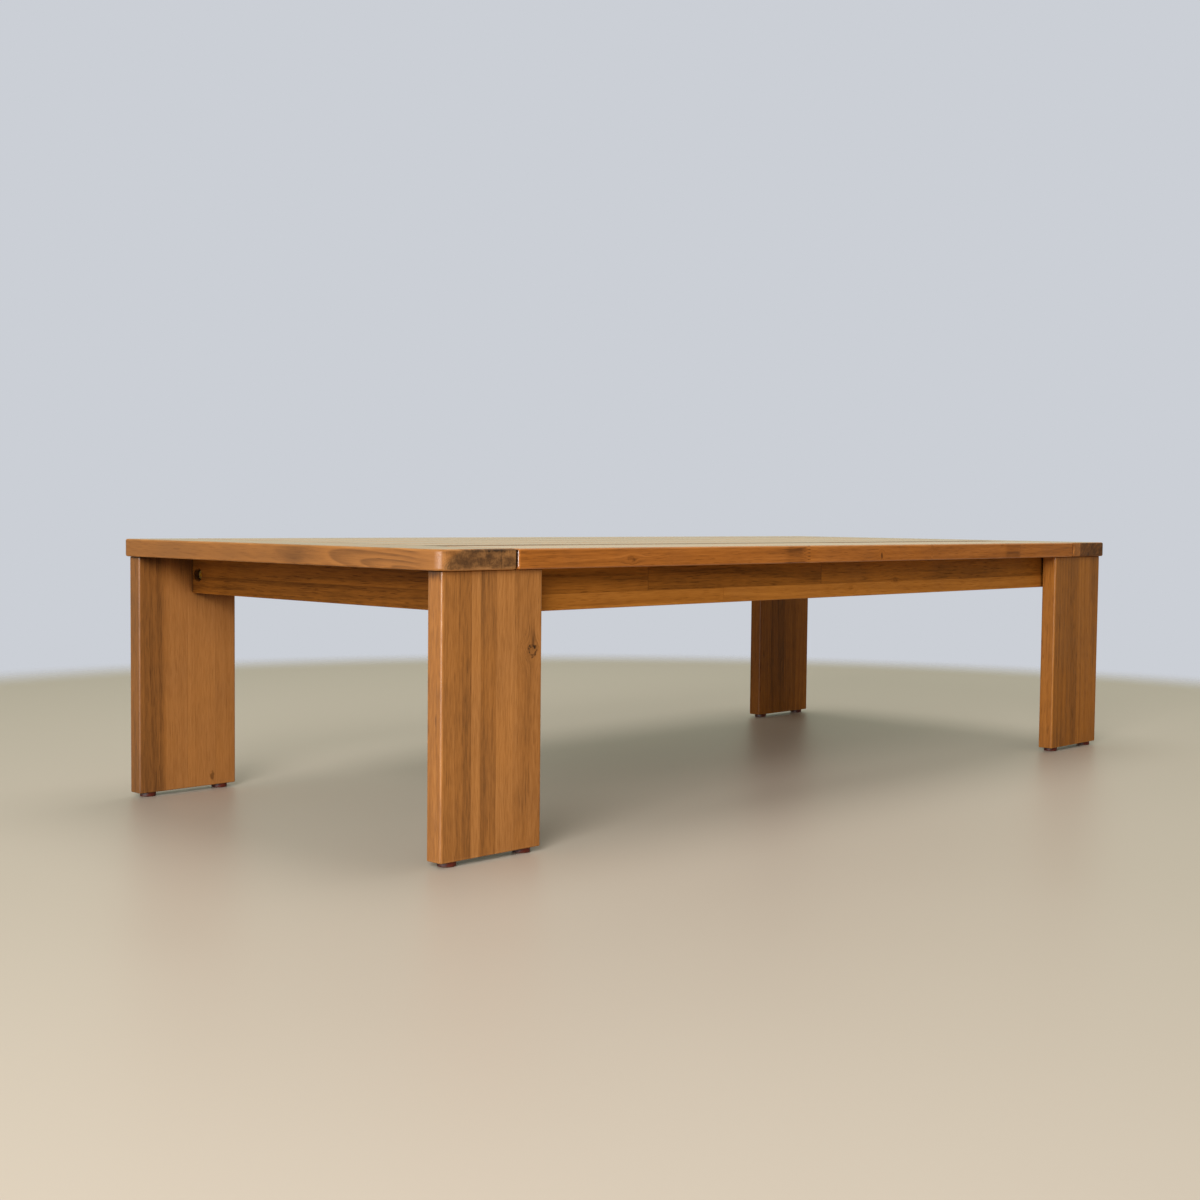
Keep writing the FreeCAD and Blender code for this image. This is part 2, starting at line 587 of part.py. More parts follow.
def make_apron_bolts():
    body = new_piece("apron_bolts")
    shank = "Sizes.bolt_diameter / 2"
    head = "Sizes.bolt_head_diameter / 2"
    seat = "Sizes.bolt_head_height"
    tip = f"{seat} + Sizes.bolt_length"
    outline = [
        ("0", "0"),
        ("0", head),
        (seat, head),
        (seat, shank),
        (f"{tip} - Sizes.bolt_point", shank),
        (tip, f"{shank} - Sizes.bolt_point"),
        (tip, "0"),
    ]
    spot = (f"-{BOLT_SEAT} - Sizes.washer_thickness - {seat}", f"-{LONG_APRON_Y}", APRON_MIDDLE)
    turn(body, "bolt", "X", spot, outline)
    sketch = new_sketch(body, "socket", "X", spot)
    draw_hexagon(sketch, "Sizes.bolt_socket_width")
    cut(body, "socket", "X", 1, sketch, "Sizes.bolt_socket_depth")
    spread_to_corners(body)


def spread_to_corners(body):
    mirror(body, "side", "X")
    repeat(body, "table", "Y", 2, f"2 * {LONG_APRON_Y}")


def make_bolt_washers():
    body = new_piece("bolt_washers")
    spot = (f"-{BOLT_SEAT} - Sizes.washer_thickness", f"-{LONG_APRON_Y}", APRON_MIDDLE)
    sketch = new_sketch(body, "ring", "X", spot)
    draw_circle(sketch, "Sizes.washer_diameter")
    draw_circle(sketch, BOLT_HOLE)
    pad(body, "ring", sketch, "Sizes.washer_thickness")
    spread_to_corners(body)


def make_barrel_nuts():
    body = new_piece("barrel_nuts")
    half = "Sizes.nut_length / 2"
    sketch = new_sketch(body, "barrel", "Y", (f"-{NUT_X}", f"{half} - {LONG_APRON_Y}", APRON_MIDDLE))
    draw_circle(sketch, "Sizes.nut_diameter")
    pad(body, "barrel", sketch, "Sizes.nut_length")
    spot = (f"-{NUT_X} - Sizes.nut_diameter", f"-{LONG_APRON_Y}", APRON_MIDDLE)
    drill(body, "thread", "X", 1, spot, BOLT_HOLE)
    spread_to_corners(body)


def dowel_outline(length):
    radius = "Sizes.dowel_diameter / 2"
    end = f"{radius} - Sizes.dowel_chamfer"
    return [
        ("0", "0"),
        ("0", end),
        ("Sizes.dowel_chamfer", radius),
        (f"{length} - Sizes.dowel_chamfer", radius),
        (length, end),
        (length, "0"),
    ]


def make_slat_dowels(side):
    body = new_piece(f"slat_dowels_{side}")
    joint_x = f"{SIDES_X[side]} * ({SLAT_LENGTH} + Sizes.end_gap) / 2"
    first_y = f"-{OUTER_SLAT} * {SLAT_PITCH} - {SLAT_DOWEL_PITCH} / 2"
    spot = (f"{joint_x} - Sizes.slat_dowel_length / 2", first_y, f"{UNDERSIDE} + {BOARD_MIDDLE}")
    turn(body, "dowel", "X", spot, dowel_outline("Sizes.slat_dowel_length"))
    repeat(body, "pair", "Y", 2, SLAT_DOWEL_PITCH)
    repeat(body, "top", "Y", len(SLAT_NAMES), SLAT_PITCH)


def make_corner_dowels():
    body = new_piece("corner_dowels")
    first_x = f"-{LONG_APRON_LENGTH} / 2 - Sizes.corner_dowel_seat"
    first_z = f"{APRON_MIDDLE} - {CORNER_DOWEL_PITCH} / 2"
    spot = (first_x, f"-{LONG_APRON_Y}", first_z)
    turn(body, "dowel", "X", spot, dowel_outline("Sizes.corner_dowel_length"))
    repeat(body, "pair", "Z", 2, CORNER_DOWEL_PITCH)
    spread_to_corners(body)


def make_batten_dowels():
    body = new_piece("batten_dowels")
    first_x = f"{BATTEN_FIRST_X} - {BATTEN_DOWEL_PITCH} / 2"
    first_y = f"-{BATTEN_LENGTH} / 2 - Sizes.batten_dowel_seat"
    spot = (first_x, first_y, f"{UNDERSIDE} - Sizes.batten_height / 2")
    turn(body, "dowel", "Y", spot, dowel_outline("Sizes.batten_dowel_length"))
    repeat(body, "pair", "X", 2, BATTEN_DOWEL_PITCH)
    repeat(body, "battens", "X", len(BATTEN_NAMES), BATTEN_PITCH)
    mirror(body, "sides", "Y")


# An upright wood screw with its head below, seated at the spot and slotted for a cross bit.
def turn_screw(body, seat_spot, length):
    x, y, seat_z = seat_spot
    head = "Sizes.screw_head_diameter / 2"
    shank = "Sizes.screw_diameter / 2"
    seat = "Sizes.screw_head_height"
    outline = [
        ("0", "0"),
        ("0", head),
        (seat, head),
        (seat, shank),
        (f"{seat} + {length} - Sizes.screw_point", shank),
        (f"{seat} + {length}", "0"),
    ]
    spot = (x, y, f"{seat_z} - {seat}")
    turn(body, "screw", "Z", spot, outline)
    slot = ("Sizes.screw_slot_length", "Sizes.screw_slot_width")
    for name, sides in (("slot", slot), ("cross_slot", slot[::-1])):
        sketch = new_sketch(body, name, "Z", spot)
        draw_rectangle(sketch, *sides)
        cut(body, name, "Z", 1, sketch, "Sizes.screw_slot_depth")


def make_batten_screws():
    body = new_piece("batten_screws")
    seat_z = f"{UNDERSIDE} - Sizes.batten_height + Sizes.batten_screw_recess"
    turn_screw(body, (BATTEN_FIRST_X, BATTEN_SCREW_FIRST_Y, seat_z), "Sizes.batten_screw_length")
    repeat(body, "batten", "Y", SCREWS_PER_BATTEN, BATTEN_SCREW_PITCH)
    repeat(body, "table", "X", len(BATTEN_NAMES), BATTEN_PITCH)


def make_apron_screws():
    seat_z = f"{APRON_BOTTOM} + Sizes.apron_screw_recess"
    body = new_piece("long_apron_screws")
    turn_screw(body, (LONG_APRON_SCREW_FIRST_X, f"-{LONG_APRON_Y}", seat_z), "Sizes.apron_screw_length")
    repeat(body, "apron", "X", SCREWS_PER_LONG_APRON, LONG_APRON_SCREW_PITCH)
    repeat(body, "table", "Y", 2, f"2 * {LONG_APRON_Y}")
    body = new_piece("short_apron_screws")
    turn_screw(body, (f"-{SHORT_APRON_X}", SHORT_APRON_SCREW_FIRST_Y, seat_z), "Sizes.apron_screw_length")
    repeat(body, "apron", "Y", SCREWS_PER_SHORT_APRON, SHORT_APRON_SCREW_PITCH)
    repeat(body, "table", "X", 2, f"2 * {SHORT_APRON_X}")


for side in SIDES_X:
    make_end_board(side)
    make_short_apron(side)
    make_slat_dowels(side)
for index, label in enumerate(SLAT_NAMES):
    make_slat(label, index - OUTER_SLAT)
for side in SIDES_Y:
    make_long_apron(side)
for index, label in enumerate(BATTEN_NAMES):
    make_batten(label, index - (len(BATTEN_NAMES) - 1) / 2)
for side_y in SIDES_Y:
    for side_x in SIDES_X:
        make_leg(side_y, side_x)
        make_glide(side_y, side_x, "outer")
        make_glide(side_y, side_x, "inner")
make_glide_nails()
make_apron_bolts()
make_bolt_washers()
make_barrel_nuts()
make_corner_dowels()
make_batten_dowels()
make_batten_screws()
make_apron_screws()

doc.recompute()
faults = [item.Name for item in doc.Objects if "Invalid" in item.State or "Error" in item.State]
faults += [piece.Label for piece in pieces if piece.Shape.isNull() or not piece.Shape.isValid()]
if faults:
    raise RuntimeError(f"not built: {faults}")

os.makedirs("parts", exist_ok=True)
for piece in pieces:
    piece.Shape.exportStep(f"parts/{piece.Label}.step")
    print(piece.Label, len(piece.Shape.Solids), "solids", round(piece.Shape.Volume / 1000, 1), "cm3")
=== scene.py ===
import math
import random

import bpy
from mathutils import Matrix, Vector


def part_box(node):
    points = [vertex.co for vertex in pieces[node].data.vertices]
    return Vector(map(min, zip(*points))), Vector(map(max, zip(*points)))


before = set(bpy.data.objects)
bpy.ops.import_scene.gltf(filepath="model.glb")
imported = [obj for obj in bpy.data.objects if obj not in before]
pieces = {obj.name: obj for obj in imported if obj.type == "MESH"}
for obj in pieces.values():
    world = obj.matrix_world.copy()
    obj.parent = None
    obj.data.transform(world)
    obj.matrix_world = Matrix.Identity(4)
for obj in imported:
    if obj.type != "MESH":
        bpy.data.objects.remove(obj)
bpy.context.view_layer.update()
scene = bpy.context.scene
scene.view_settings.view_transform = "Standard"
print("frame loaded with", len(pieces), "pieces")


# colours are written as 0 to 255 screen values
def paint(red, green, blue):
    def linear(level):
        level = level / 255
        return level / 12.92 if level <= 0.04045 else ((level + 0.055) / 1.055) ** 2.4

    return linear(red), linear(green), linear(blue), 1.0


# short ways to add nodes to a tree, set out in columns
nodeSpacing = {"across": 220, "down": 190, "perColumn": 7, "groupEnd": 2400}


def addNode(tree, kind, **settings):
    node = tree.nodes.new("ShaderNode" + kind)
    for name, value in settings.items():
        setattr(node, name, value)
    column, row = divmod(len(tree.nodes), nodeSpacing["perColumn"])
    node.location = (nodeSpacing["across"] * column, -nodeSpacing["down"] * row)
    return node


def feed(tree, socket, value):
    if isinstance(value, bpy.types.NodeSocket):
        tree.links.new(value, socket)
    else:
        socket.default_value = value


def feedAll(tree, sockets, *values):
    for socket, value in zip(sockets, values):
        feed(tree, socket, value)


def calc(tree, operation, *values):
    node = addNode(tree, "Math", operation=operation)
    feedAll(tree, node.inputs, *values)
    return node.outputs[0]


def calcVector(tree, operation, *values):
    node = addNode(tree, "VectorMath", operation=operation)
    feedAll(tree, node.inputs, *values)
    return node.outputs["Value" if operation == "LENGTH" else "Vector"]


def shift(tree, value, mask, amount):  # value plus amount times mask
    return calc(tree, "MULTIPLY_ADD", mask, amount, value)


def balanced(tree, value):  # 0 to 1 becomes -0.5 to 0.5
    return calc(tree, "SUBTRACT", value, 0.5)


def rise(tree, value, low, high):  # 0 below low, 1 above high, smooth between
    node = addNode(tree, "MapRange", interpolation_type="SMOOTHSTEP")
    feed(tree, node.inputs["Value"], value)
    feed(tree, node.inputs["From Min"], low)
    feed(tree, node.inputs["From Max"], high)
    return node.outputs["Result"]


def fall(tree, value, low, high):
    return calc(tree, "SUBTRACT", 1.0, rise(tree, value, low, high))


# a Mix node's numbers go in at 2 and 3, its colours at 6 and 7
def mix(tree, factor, low, high):
    node = addNode(tree, "Mix", data_type="FLOAT")
    feedAll(tree, (node.inputs["Factor"], node.inputs[2], node.inputs[3]), factor, low, high)
    return node.outputs[0]


def mixColour(tree, factor, low, high, blend="MIX"):
    node = addNode(tree, "Mix", data_type="RGBA", blend_type=blend)
    feedAll(tree, (node.inputs["Factor"], node.inputs[6], node.inputs[7]), factor, low, high)
    return node.outputs[2]


def noise(tree, vector, scale, detail=2.0, rough=0.5):
    node = addNode(tree, "TexNoise")
    feed(tree, node.inputs["Vector"], calcVector(tree, "MULTIPLY", vector, scale))
    feed(tree, node.inputs["Scale"], 1.0)
    feed(tree, node.inputs["Detail"], detail)
    feed(tree, node.inputs["Roughness"], rough)
    return node.outputs[0]


def split(tree, vector):
    node = addNode(tree, "SeparateXYZ")
    feed(tree, node.inputs[0], vector)
    return node.outputs


def join(tree, x, y, z):
    node = addNode(tree, "CombineXYZ")
    feedAll(tree, node.inputs, x, y, z)
    return node.outputs[0]


def newGroup(name, inputs, outputs):
    tree = bpy.data.node_groups.new(name, "ShaderNodeTree")
    for label, kind in inputs.items():
        tree.interface.new_socket(label, in_out="INPUT", socket_type="NodeSocket" + kind)
    for label, kind in outputs.items():
        tree.interface.new_socket(label, in_out="OUTPUT", socket_type="NodeSocket" + kind)
    start = tree.nodes.new("NodeGroupInput")
    end = tree.nodes.new("NodeGroupOutput")
    end.location.x = nodeSpacing["groupEnd"]
    return tree, start.outputs, end.inputs


def useGroup(tree, group, **values):
    node = addNode(tree, "Group")
    node.node_tree = group
    node.label = group.name
    for name, value in values.items():
        feed(tree, node.inputs[name], value)
    return node.outputs


# Board space for all wood groups: x runs along the grain, y across the board, z through it.
# Noise scales are cycles per metre in that order.
grainNoise = {
    "sway": (2.6, 17, 17), "lift": (1.7, 11, 23), "rings": (0.8, 38, 38), "streaks": (0.9, 64, 64),
    "fine": (6, 430, 430), "coarse": (2.4, 170, 170), "flecks": (52, 540, 540),
    "pores": (48, 1250, 1250), "ribbon": (13, 9, 9),
}
endNoise = {"dots": (25, 900, 900), "rays": (25, 620, 70), "blotch": (9, 62, 95)}
markNoise = {"wearAndHighlight": (31, 31, 31), "knot": (150, 190, 190), "knotRim": (310, 240, 240),
             "spot": (28, 130, 130)}
metalNoise = {"blotch": (190, 190, 190), "scratch": (2400, 2400, 260)}
# noise levels at which a mark begins and is full
grainLevels = {"streaks": (0.5, 0.74), "flecks": (0.34, 0.66), "pores": (0.64, 0.74)}
endLevels = {"dots": (0.56, 0.7), "rays": (0.5, 0.75)}
markLevels = {"wearAndHighlight": (0.34, 0.62), "knotRim": (0.38, 0.6), "scratch": (0.58, 0.72)}
woodColours = {
    "stops": {0.0: paint(44, 29, 18), 0.25: paint(106, 68, 36), 0.5: paint(160, 107, 58),
              0.72: paint(186, 130, 78), 1.0: paint(228, 182, 134)},
    "warm": (1.02, 0.86, 0.42, 1), "red": (1.13, 0.95, 0.95, 1), "grey": (0.97, 1.09, 1.32, 1),
}


def makeHardwoodGrain():
    inputs = {"Vector": "Vector", "FromPith": "Vector", "Seed": "Float", "RingWidth": "Float",
              "Wander": "Float"}
    outputs = {"Bands": "Float", "Streaks": "Float", "Fibre": "Float", "Flecks": "Float",
               "Pores": "Float", "Ribbon": "Float"}
    tree, given, result = newGroup("hardwoodGrain", inputs, outputs)
    seedStep = (1.7, 0.31, 0.53)
    unevenRings = 1.8
    lateFrom, lateFull = 0.1, 0.86  # shares of a ring
    coarseShare = 0.45
    moved = calcVector(tree, "MULTIPLY_ADD", given["Seed"], seedStep, given["Vector"])
    sway = balanced(tree, noise(tree, moved, grainNoise["sway"]))
    lift = balanced(tree, noise(tree, moved, grainNoise["lift"]))
    drift = calcVector(tree, "MULTIPLY", join(tree, 0.0, sway, lift), given["Wander"])
    flow = calcVector(tree, "ADD", moved, drift)
    fromPith = calcVector(tree, "ADD", given["FromPith"], drift)
    fromPith = calcVector(tree, "MULTIPLY", fromPith, (0, 1, 1))
    turns = calc(tree, "DIVIDE", calcVector(tree, "LENGTH", fromPith), given["RingWidth"])
    turns = shift(tree, turns, noise(tree, flow, grainNoise["rings"], detail=1), unevenRings)
    saw = calc(tree, "FRACT", turns)
    late = calc(tree, "SUBTRACT", rise(tree, saw, lateFrom, lateFull), rise(tree, saw, lateFull, 1.0))
    streaks = noise(tree, flow, grainNoise["streaks"], detail=3, rough=0.55)
    fine = noise(tree, flow, grainNoise["fine"], detail=4, rough=0.66)
    coarse = noise(tree, flow, grainNoise["coarse"], rough=0.6)
    flecks = noise(tree, flow, grainNoise["flecks"], rough=0.6)
    pores = noise(tree, flow, grainNoise["pores"], detail=0)
    feed(tree, result["Bands"], late)
    feed(tree, result["Streaks"], rise(tree, streaks, *grainLevels["streaks"]))
    feed(tree, result["Fibre"], mix(tree, coarseShare, fine, coarse))
    feed(tree, result["Flecks"], rise(tree, flecks, *grainLevels["flecks"]))
    feed(tree, result["Pores"], rise(tree, pores, *grainLevels["pores"]))
    feed(tree, result["Ribbon"], noise(tree, moved, grainNoise["ribbon"]))
    return tree


def makeEndGrain():
    outputs = {"Speckle": "Float", "Blotch": "Float"}
    tree, given, result = newGroup("endGrain", {"Vector": "Vector", "Seed": "Float"}, outputs)
    seedStep = (0, 0.7, 0.9)
    rayShare = 0.6
    moved = calcVector(tree, "MULTIPLY_ADD", given["Seed"], seedStep, given["Vector"])
    dots = rise(tree, noise(tree, moved, endNoise["dots"], detail=1), *endLevels["dots"])
    rays = rise(tree, noise(tree, moved, endNoise["rays"], detail=1), *endLevels["rays"])
    rays = calc(tree, "MULTIPLY", rays, rayShare)
    feed(tree, result["Speckle"], calc(tree, "MAXIMUM", dots, rays))
    feed(tree, result["Blotch"], noise(tree, moved, endNoise["blotch"], detail=3, rough=0.6))
    return tree


# a paler band along a board's edges, partly wear and partly a painted highlight
def makeEdgeWearAndHighlight():
    inputs = {"Vector": "Vector", "HalfSize": "Vector", "Width": "Float", "Seed": "Float"}
    tree, given, result = newGroup("edgeWearAndHighlight", inputs, {"WearAndHighlight": "Float"})
    leastWear = 0.4
    outward = calcVector(tree, "ABSOLUTE", given["Vector"])
    x, y, z = split(tree, calcVector(tree, "SUBTRACT", given["HalfSize"], outward))
    nearer = calc(tree, "MINIMUM", calc(tree, "MAXIMUM", x, y), z)
    toEdge = calc(tree, "MAXIMUM", calc(tree, "MINIMUM", x, y), nearer)  # the middle one of the three
    offset = calcVector(tree, "ADD", given["Vector"], given["Seed"])
    patchy = rise(tree, noise(tree, offset, markNoise["wearAndHighlight"], detail=3), *markLevels["wearAndHighlight"])
    patchy = mix(tree, patchy, leastWear, 1.0)
    paleEdge = fall(tree, toEdge, 0.0, given["Width"])
    feed(tree, result["WearAndHighlight"], calc(tree, "MULTIPLY", paleEdge, patchy))
    return tree


def makeGluedStrip():
    inputs = {"Across": "Float", "From": "Float", "To": "Float"}
    tree, given, result = newGroup("gluedStrip", inputs, {"Mask": "Float", "Seam": "Float"})
    soft = 0.0002
    lineWidth = (0.0001, 0.0007)
    pastStart = calc(tree, "SUBTRACT", given["Across"], given["From"])
    pastEnd = calc(tree, "SUBTRACT", given["Across"], given["To"])
    begun = rise(tree, pastStart, -soft, soft)
    ended = rise(tree, pastEnd, -soft, soft)
    feed(tree, result["Mask"], calc(tree, "SUBTRACT", begun, ended))
    feed(tree, result["Seam"], fall(tree, calc(tree, "ABSOLUTE", pastStart), *lineWidth))
    return tree


def makeFingerJoint():
    inputs = {"Along": "Float", "Depth": "Float", "Place": "Float", "Reach": "Float"}
    tree, given, result = newGroup("fingerJoint", inputs, {"Beyond": "Float", "Seam": "Float"})
    pitch = 0.0021
    soft = 0.0004
    phase = 1.0
    buttLine, fingerLine = 0.2, 0.7  # darkness of the seam
    lineWidth = (0.0003, 0.0016)
    tipWidth, tipLength = (0.6, 0.85), (0.0012, 0.0038)  # gaps at the finger tips
    wave = calc(tree, "PINGPONG", calc(tree, "ADD", given["Depth"], phase), pitch)
    wave = calc(tree, "DIVIDE", wave, pitch)
    zigzag = calc(tree, "MULTIPLY", balanced(tree, wave), given["Reach"])
    past = calc(tree, "SUBTRACT", given["Along"], given["Place"])
    ahead = calc(tree, "SUBTRACT", past, zigzag)
    feed(tree, result["Beyond"], rise(tree, ahead, -soft, soft))
    fingered = rise(tree, given["Reach"], 0.001, 0.004)  # 0 on a butt joint
    line = fall(tree, calc(tree, "ABSOLUTE", ahead), *lineWidth)
    line = calc(tree, "MULTIPLY", line, mix(tree, fingered, buttLine, fingerLine))
    fromTip = calc(tree, "ABSOLUTE", shift(tree, past, given["Reach"], -0.5))
    tips = calc(tree, "MULTIPLY", rise(tree, wave, *tipWidth), fall(tree, fromTip, *tipLength))
    tips = calc(tree, "MULTIPLY", tips, fingered)
    feed(tree, result["Seam"], calc(tree, "MAXIMUM", line, tips))
    return tree


def makeKnot():
    inputs = {"Vector": "Vector", "Place": "Vector", "Stretch": "Vector", "Size": "Float"}
    outputs = {"Core": "Float", "Rim": "Float", "Pull": "Float"}
    tree, given, result = newGroup("knot", inputs, outputs)
    uneven = 1.9
    faintRim = 0.25
    coreEdge, rimStart, rimEnd, pullEdge = (0.4, 1.1), (0.4, 0.85), (0.85, 1.5), (0.3, 4.5)  # in radii
    away = calcVector(tree, "SUBTRACT", given["Vector"], given["Place"])
    away = calcVector(tree, "DIVIDE", away, given["Stretch"])
    reach = calc(tree, "DIVIDE", calcVector(tree, "LENGTH", away), given["Size"])
    wobble = noise(tree, given["Vector"], markNoise["knot"])
    reach = shift(tree, reach, balanced(tree, wobble), uneven)
    feed(tree, result["Core"], fall(tree, reach, *coreEdge))
    rim = calc(tree, "MULTIPLY", rise(tree, reach, *rimStart), fall(tree, reach, *rimEnd))
    broken = noise(tree, given["Vector"], markNoise["knotRim"], detail=1)
    broken = rise(tree, broken, *markLevels["knotRim"])
    feed(tree, result["Rim"], calc(tree, "MULTIPLY", rim, mix(tree, broken, faintRim, 1.0)))
    feed(tree, result["Pull"], fall(tree, reach, *pullEdge))
    return tree


def makeSoftSpot():
    inputs = {"Vector": "Vector", "Place": "Vector", "Radii": "Vector"}
    tree, given, result = newGroup("softSpot", inputs, {"Mask": "Float"})
    ragged = 1.3
    fade = (0.75, 1.6)
    away = calcVector(tree, "SUBTRACT", given["Vector"], given["Place"])
    away = calcVector(tree, "DIVIDE", away, given["Radii"])
    cloud = noise(tree, given["Vector"], markNoise["spot"], detail=3, rough=0.6)
    reach = shift(tree, calcVector(tree, "LENGTH", away), cloud, ragged)
    feed(tree, result["Mask"], fall(tree, reach, *fade))
    return tree


def makeWoodTone():
    inputs = {"Tone": "Float", "Warmth": "Float", "Redness": "Float"}
    tree, given, result = newGroup("woodTone", inputs, {"Colour": "Color"})
    node = addNode(tree, "ValToRGB")
    feed(tree, node.inputs[0], given["Tone"])
    ramp = node.color_ramp
    while len(ramp.elements) < len(woodColours["stops"]):
        ramp.elements.new(0.5)
    for element, (place, colour) in zip(ramp.elements, woodColours["stops"].items()):
        element.position = place
        element.color = colour
    oiled = mixColour(tree, given["Warmth"], node.outputs[0], woodColours["warm"], "MULTIPLY")
    red = mixColour(tree, given["Redness"], oiled, woodColours["red"], "MULTIPLY")
    feed(tree, result["Colour"], red)
    return tree


def makeScuffs():
    outputs = {"Blotch": "Float", "Scratch": "Float"}
    tree, given, result = newGroup("scuffs", {"Vector": "Vector", "Seed": "Float"}, outputs)
    moved = calcVector(tree, "ADD", given["Vector"], given["Seed"])
    scratch = noise(tree, moved, metalNoise["scratch"], detail=1)
    feed(tree, result["Blotch"], noise(tree, moved, metalNoise["blotch"], detail=3, rough=0.6))
    feed(tree, result["Scratch"], rise(tree, scratch, *markLevels["scratch"]))
    return tree


hardwoodGrain = makeHardwoodGrain()
endGrain = makeEndGrain()
edgeWearAndHighlight = makeEdgeWearAndHighlight()
gluedStrip = makeGluedStrip()
fingerJoint = makeFingerJoint()
knotMark = makeKnot()
softSpot = makeSoftSpot()
woodTone = makeWoodTone()
scuffs = makeScuffs()
print("shared finishes made")


def newMaterial(name):
    material = bpy.data.materials.new(name)
    material.use_nodes = True
    return material, material.node_tree, material.node_tree.nodes["Principled BSDF"]


def dress(name, material):
    item = pieces[name]
    if not item.material_slots:
        item.data.materials.append(material)
    for slot in item.material_slots:
        slot.material = material


def addBump(tree, shader, height, strength, depth):
    bump = addNode(tree, "Bump")
    bump.inputs["Strength"].default_value = strength
    bump.inputs["Distance"].default_value = depth
    feed(tree, bump.inputs["Height"], height)
    feed(tree, shader.inputs["Normal"], bump.outputs[0])


def openness(tree, reach):  # 1 in the open, less where another surface is within reach
    node = addNode(tree, "AmbientOcclusion", samples=8)
    node.inputs["Distance"].default_value = reach
    return node.outputs["AO"]


# what is the same on every board; a pair says where an effect begins and is full, or is full and ends
woodFinish = {
    "meanBand": 0.4, "seamDark": 0.34, "glueLine": 0.18, "knotPull": (0.0, 0.8, 0.8),
    "timberStep": ((2, 6), (-0.03, 0.03), (-0.05, 0.02)),  # how far apart the grain of two strips starts
    "endFacing": (0.62, 0.9), "speckleDark": 0.11, "ringDark": 0.12, "endCool": 0.3, "endRough": 0.16,
    "paleEdgeWidth": 0.0034, "rubbedFacing": (0.8, 0.97),
    "topFacing": (0.97, 0.998), "oilyTone": (0.26, 0.44),
    "gapReach": 0.006, "gapOpen": (0.25, 0.75),
    "cornerShadeReach": 0.045, "cornerShadeOpen": (0.3, 0.85), "cornerShadeHeight": (0.12, 0.22),
    "ribbonWarm": 0.5, "ribbonRough": 0.16, "poreRough": 0.15, "coatRough": 0.26,
    "poreDepth": 0.7, "seamDepth": 0.5, "speckleDepth": 0.7, "bump": 0.3, "bumpDepth": 0.0005,
}
# what a board looks like unless its own entry says otherwise
plainBoard = {
    "tone": 0.5, "warmth": 0.6, "redness": 0.0, "seed": 1,  # tone 0 is the darkest wood and 1 the palest
    "pith": (0.03, -0.07), "lean": (0.0, 0.02), "ring": 0.0085, "wander": 0.018,  # growth rings
    "bands": 0.07, "streaks": 0.16, "fibre": 0.62, "flecks": 0.06, "pores": 0.14, "ribbon": 0.16,
    "strips": [], "patches": [], "stainsAndPaintedLight": [], "spots": [], "knots": [],
    "endTone": -0.22, "blotch": 1.0, "heart": None,  # sawn ends
    "wearAndHighlight": 0.14, "creviceShade": 0.3, "shade": 0.0,  # pale edges from wear and a painted highlight, painted shade in gaps, painted shade in corners under the top
    "roughness": 0.42, "shine": 0.12, "polish": 0.4, "sheen": 0.0,
}


# Marks on a board: places are in metres from its middle, and tone and bands are added to its own.
# Strips fill it from edge to edge and are parted at the seams.
def stripRow(seams, *steps):
    outside = 1.0
    edges = (-outside, *seams, outside)
    return [{"from": start, "to": end, **step} for start, end, step in zip(edges, edges[1:], steps)]


def jointAt(along, tone=0.0, bands=0.0, finger=0.0):  # a strip's end, fingered or butted
    return along, tone, bands, finger


def zone(start, end, soft, tone, bands=0.0):  # a patch along a board, or a band across it: a stain on some boards, painted light on others
    return start, end, soft, tone, bands


def spotAt(place, radii, tone):
    return place, radii, tone


def knotAt(place, size, stretch, core, rim):
    return place, size, stretch, core, rim


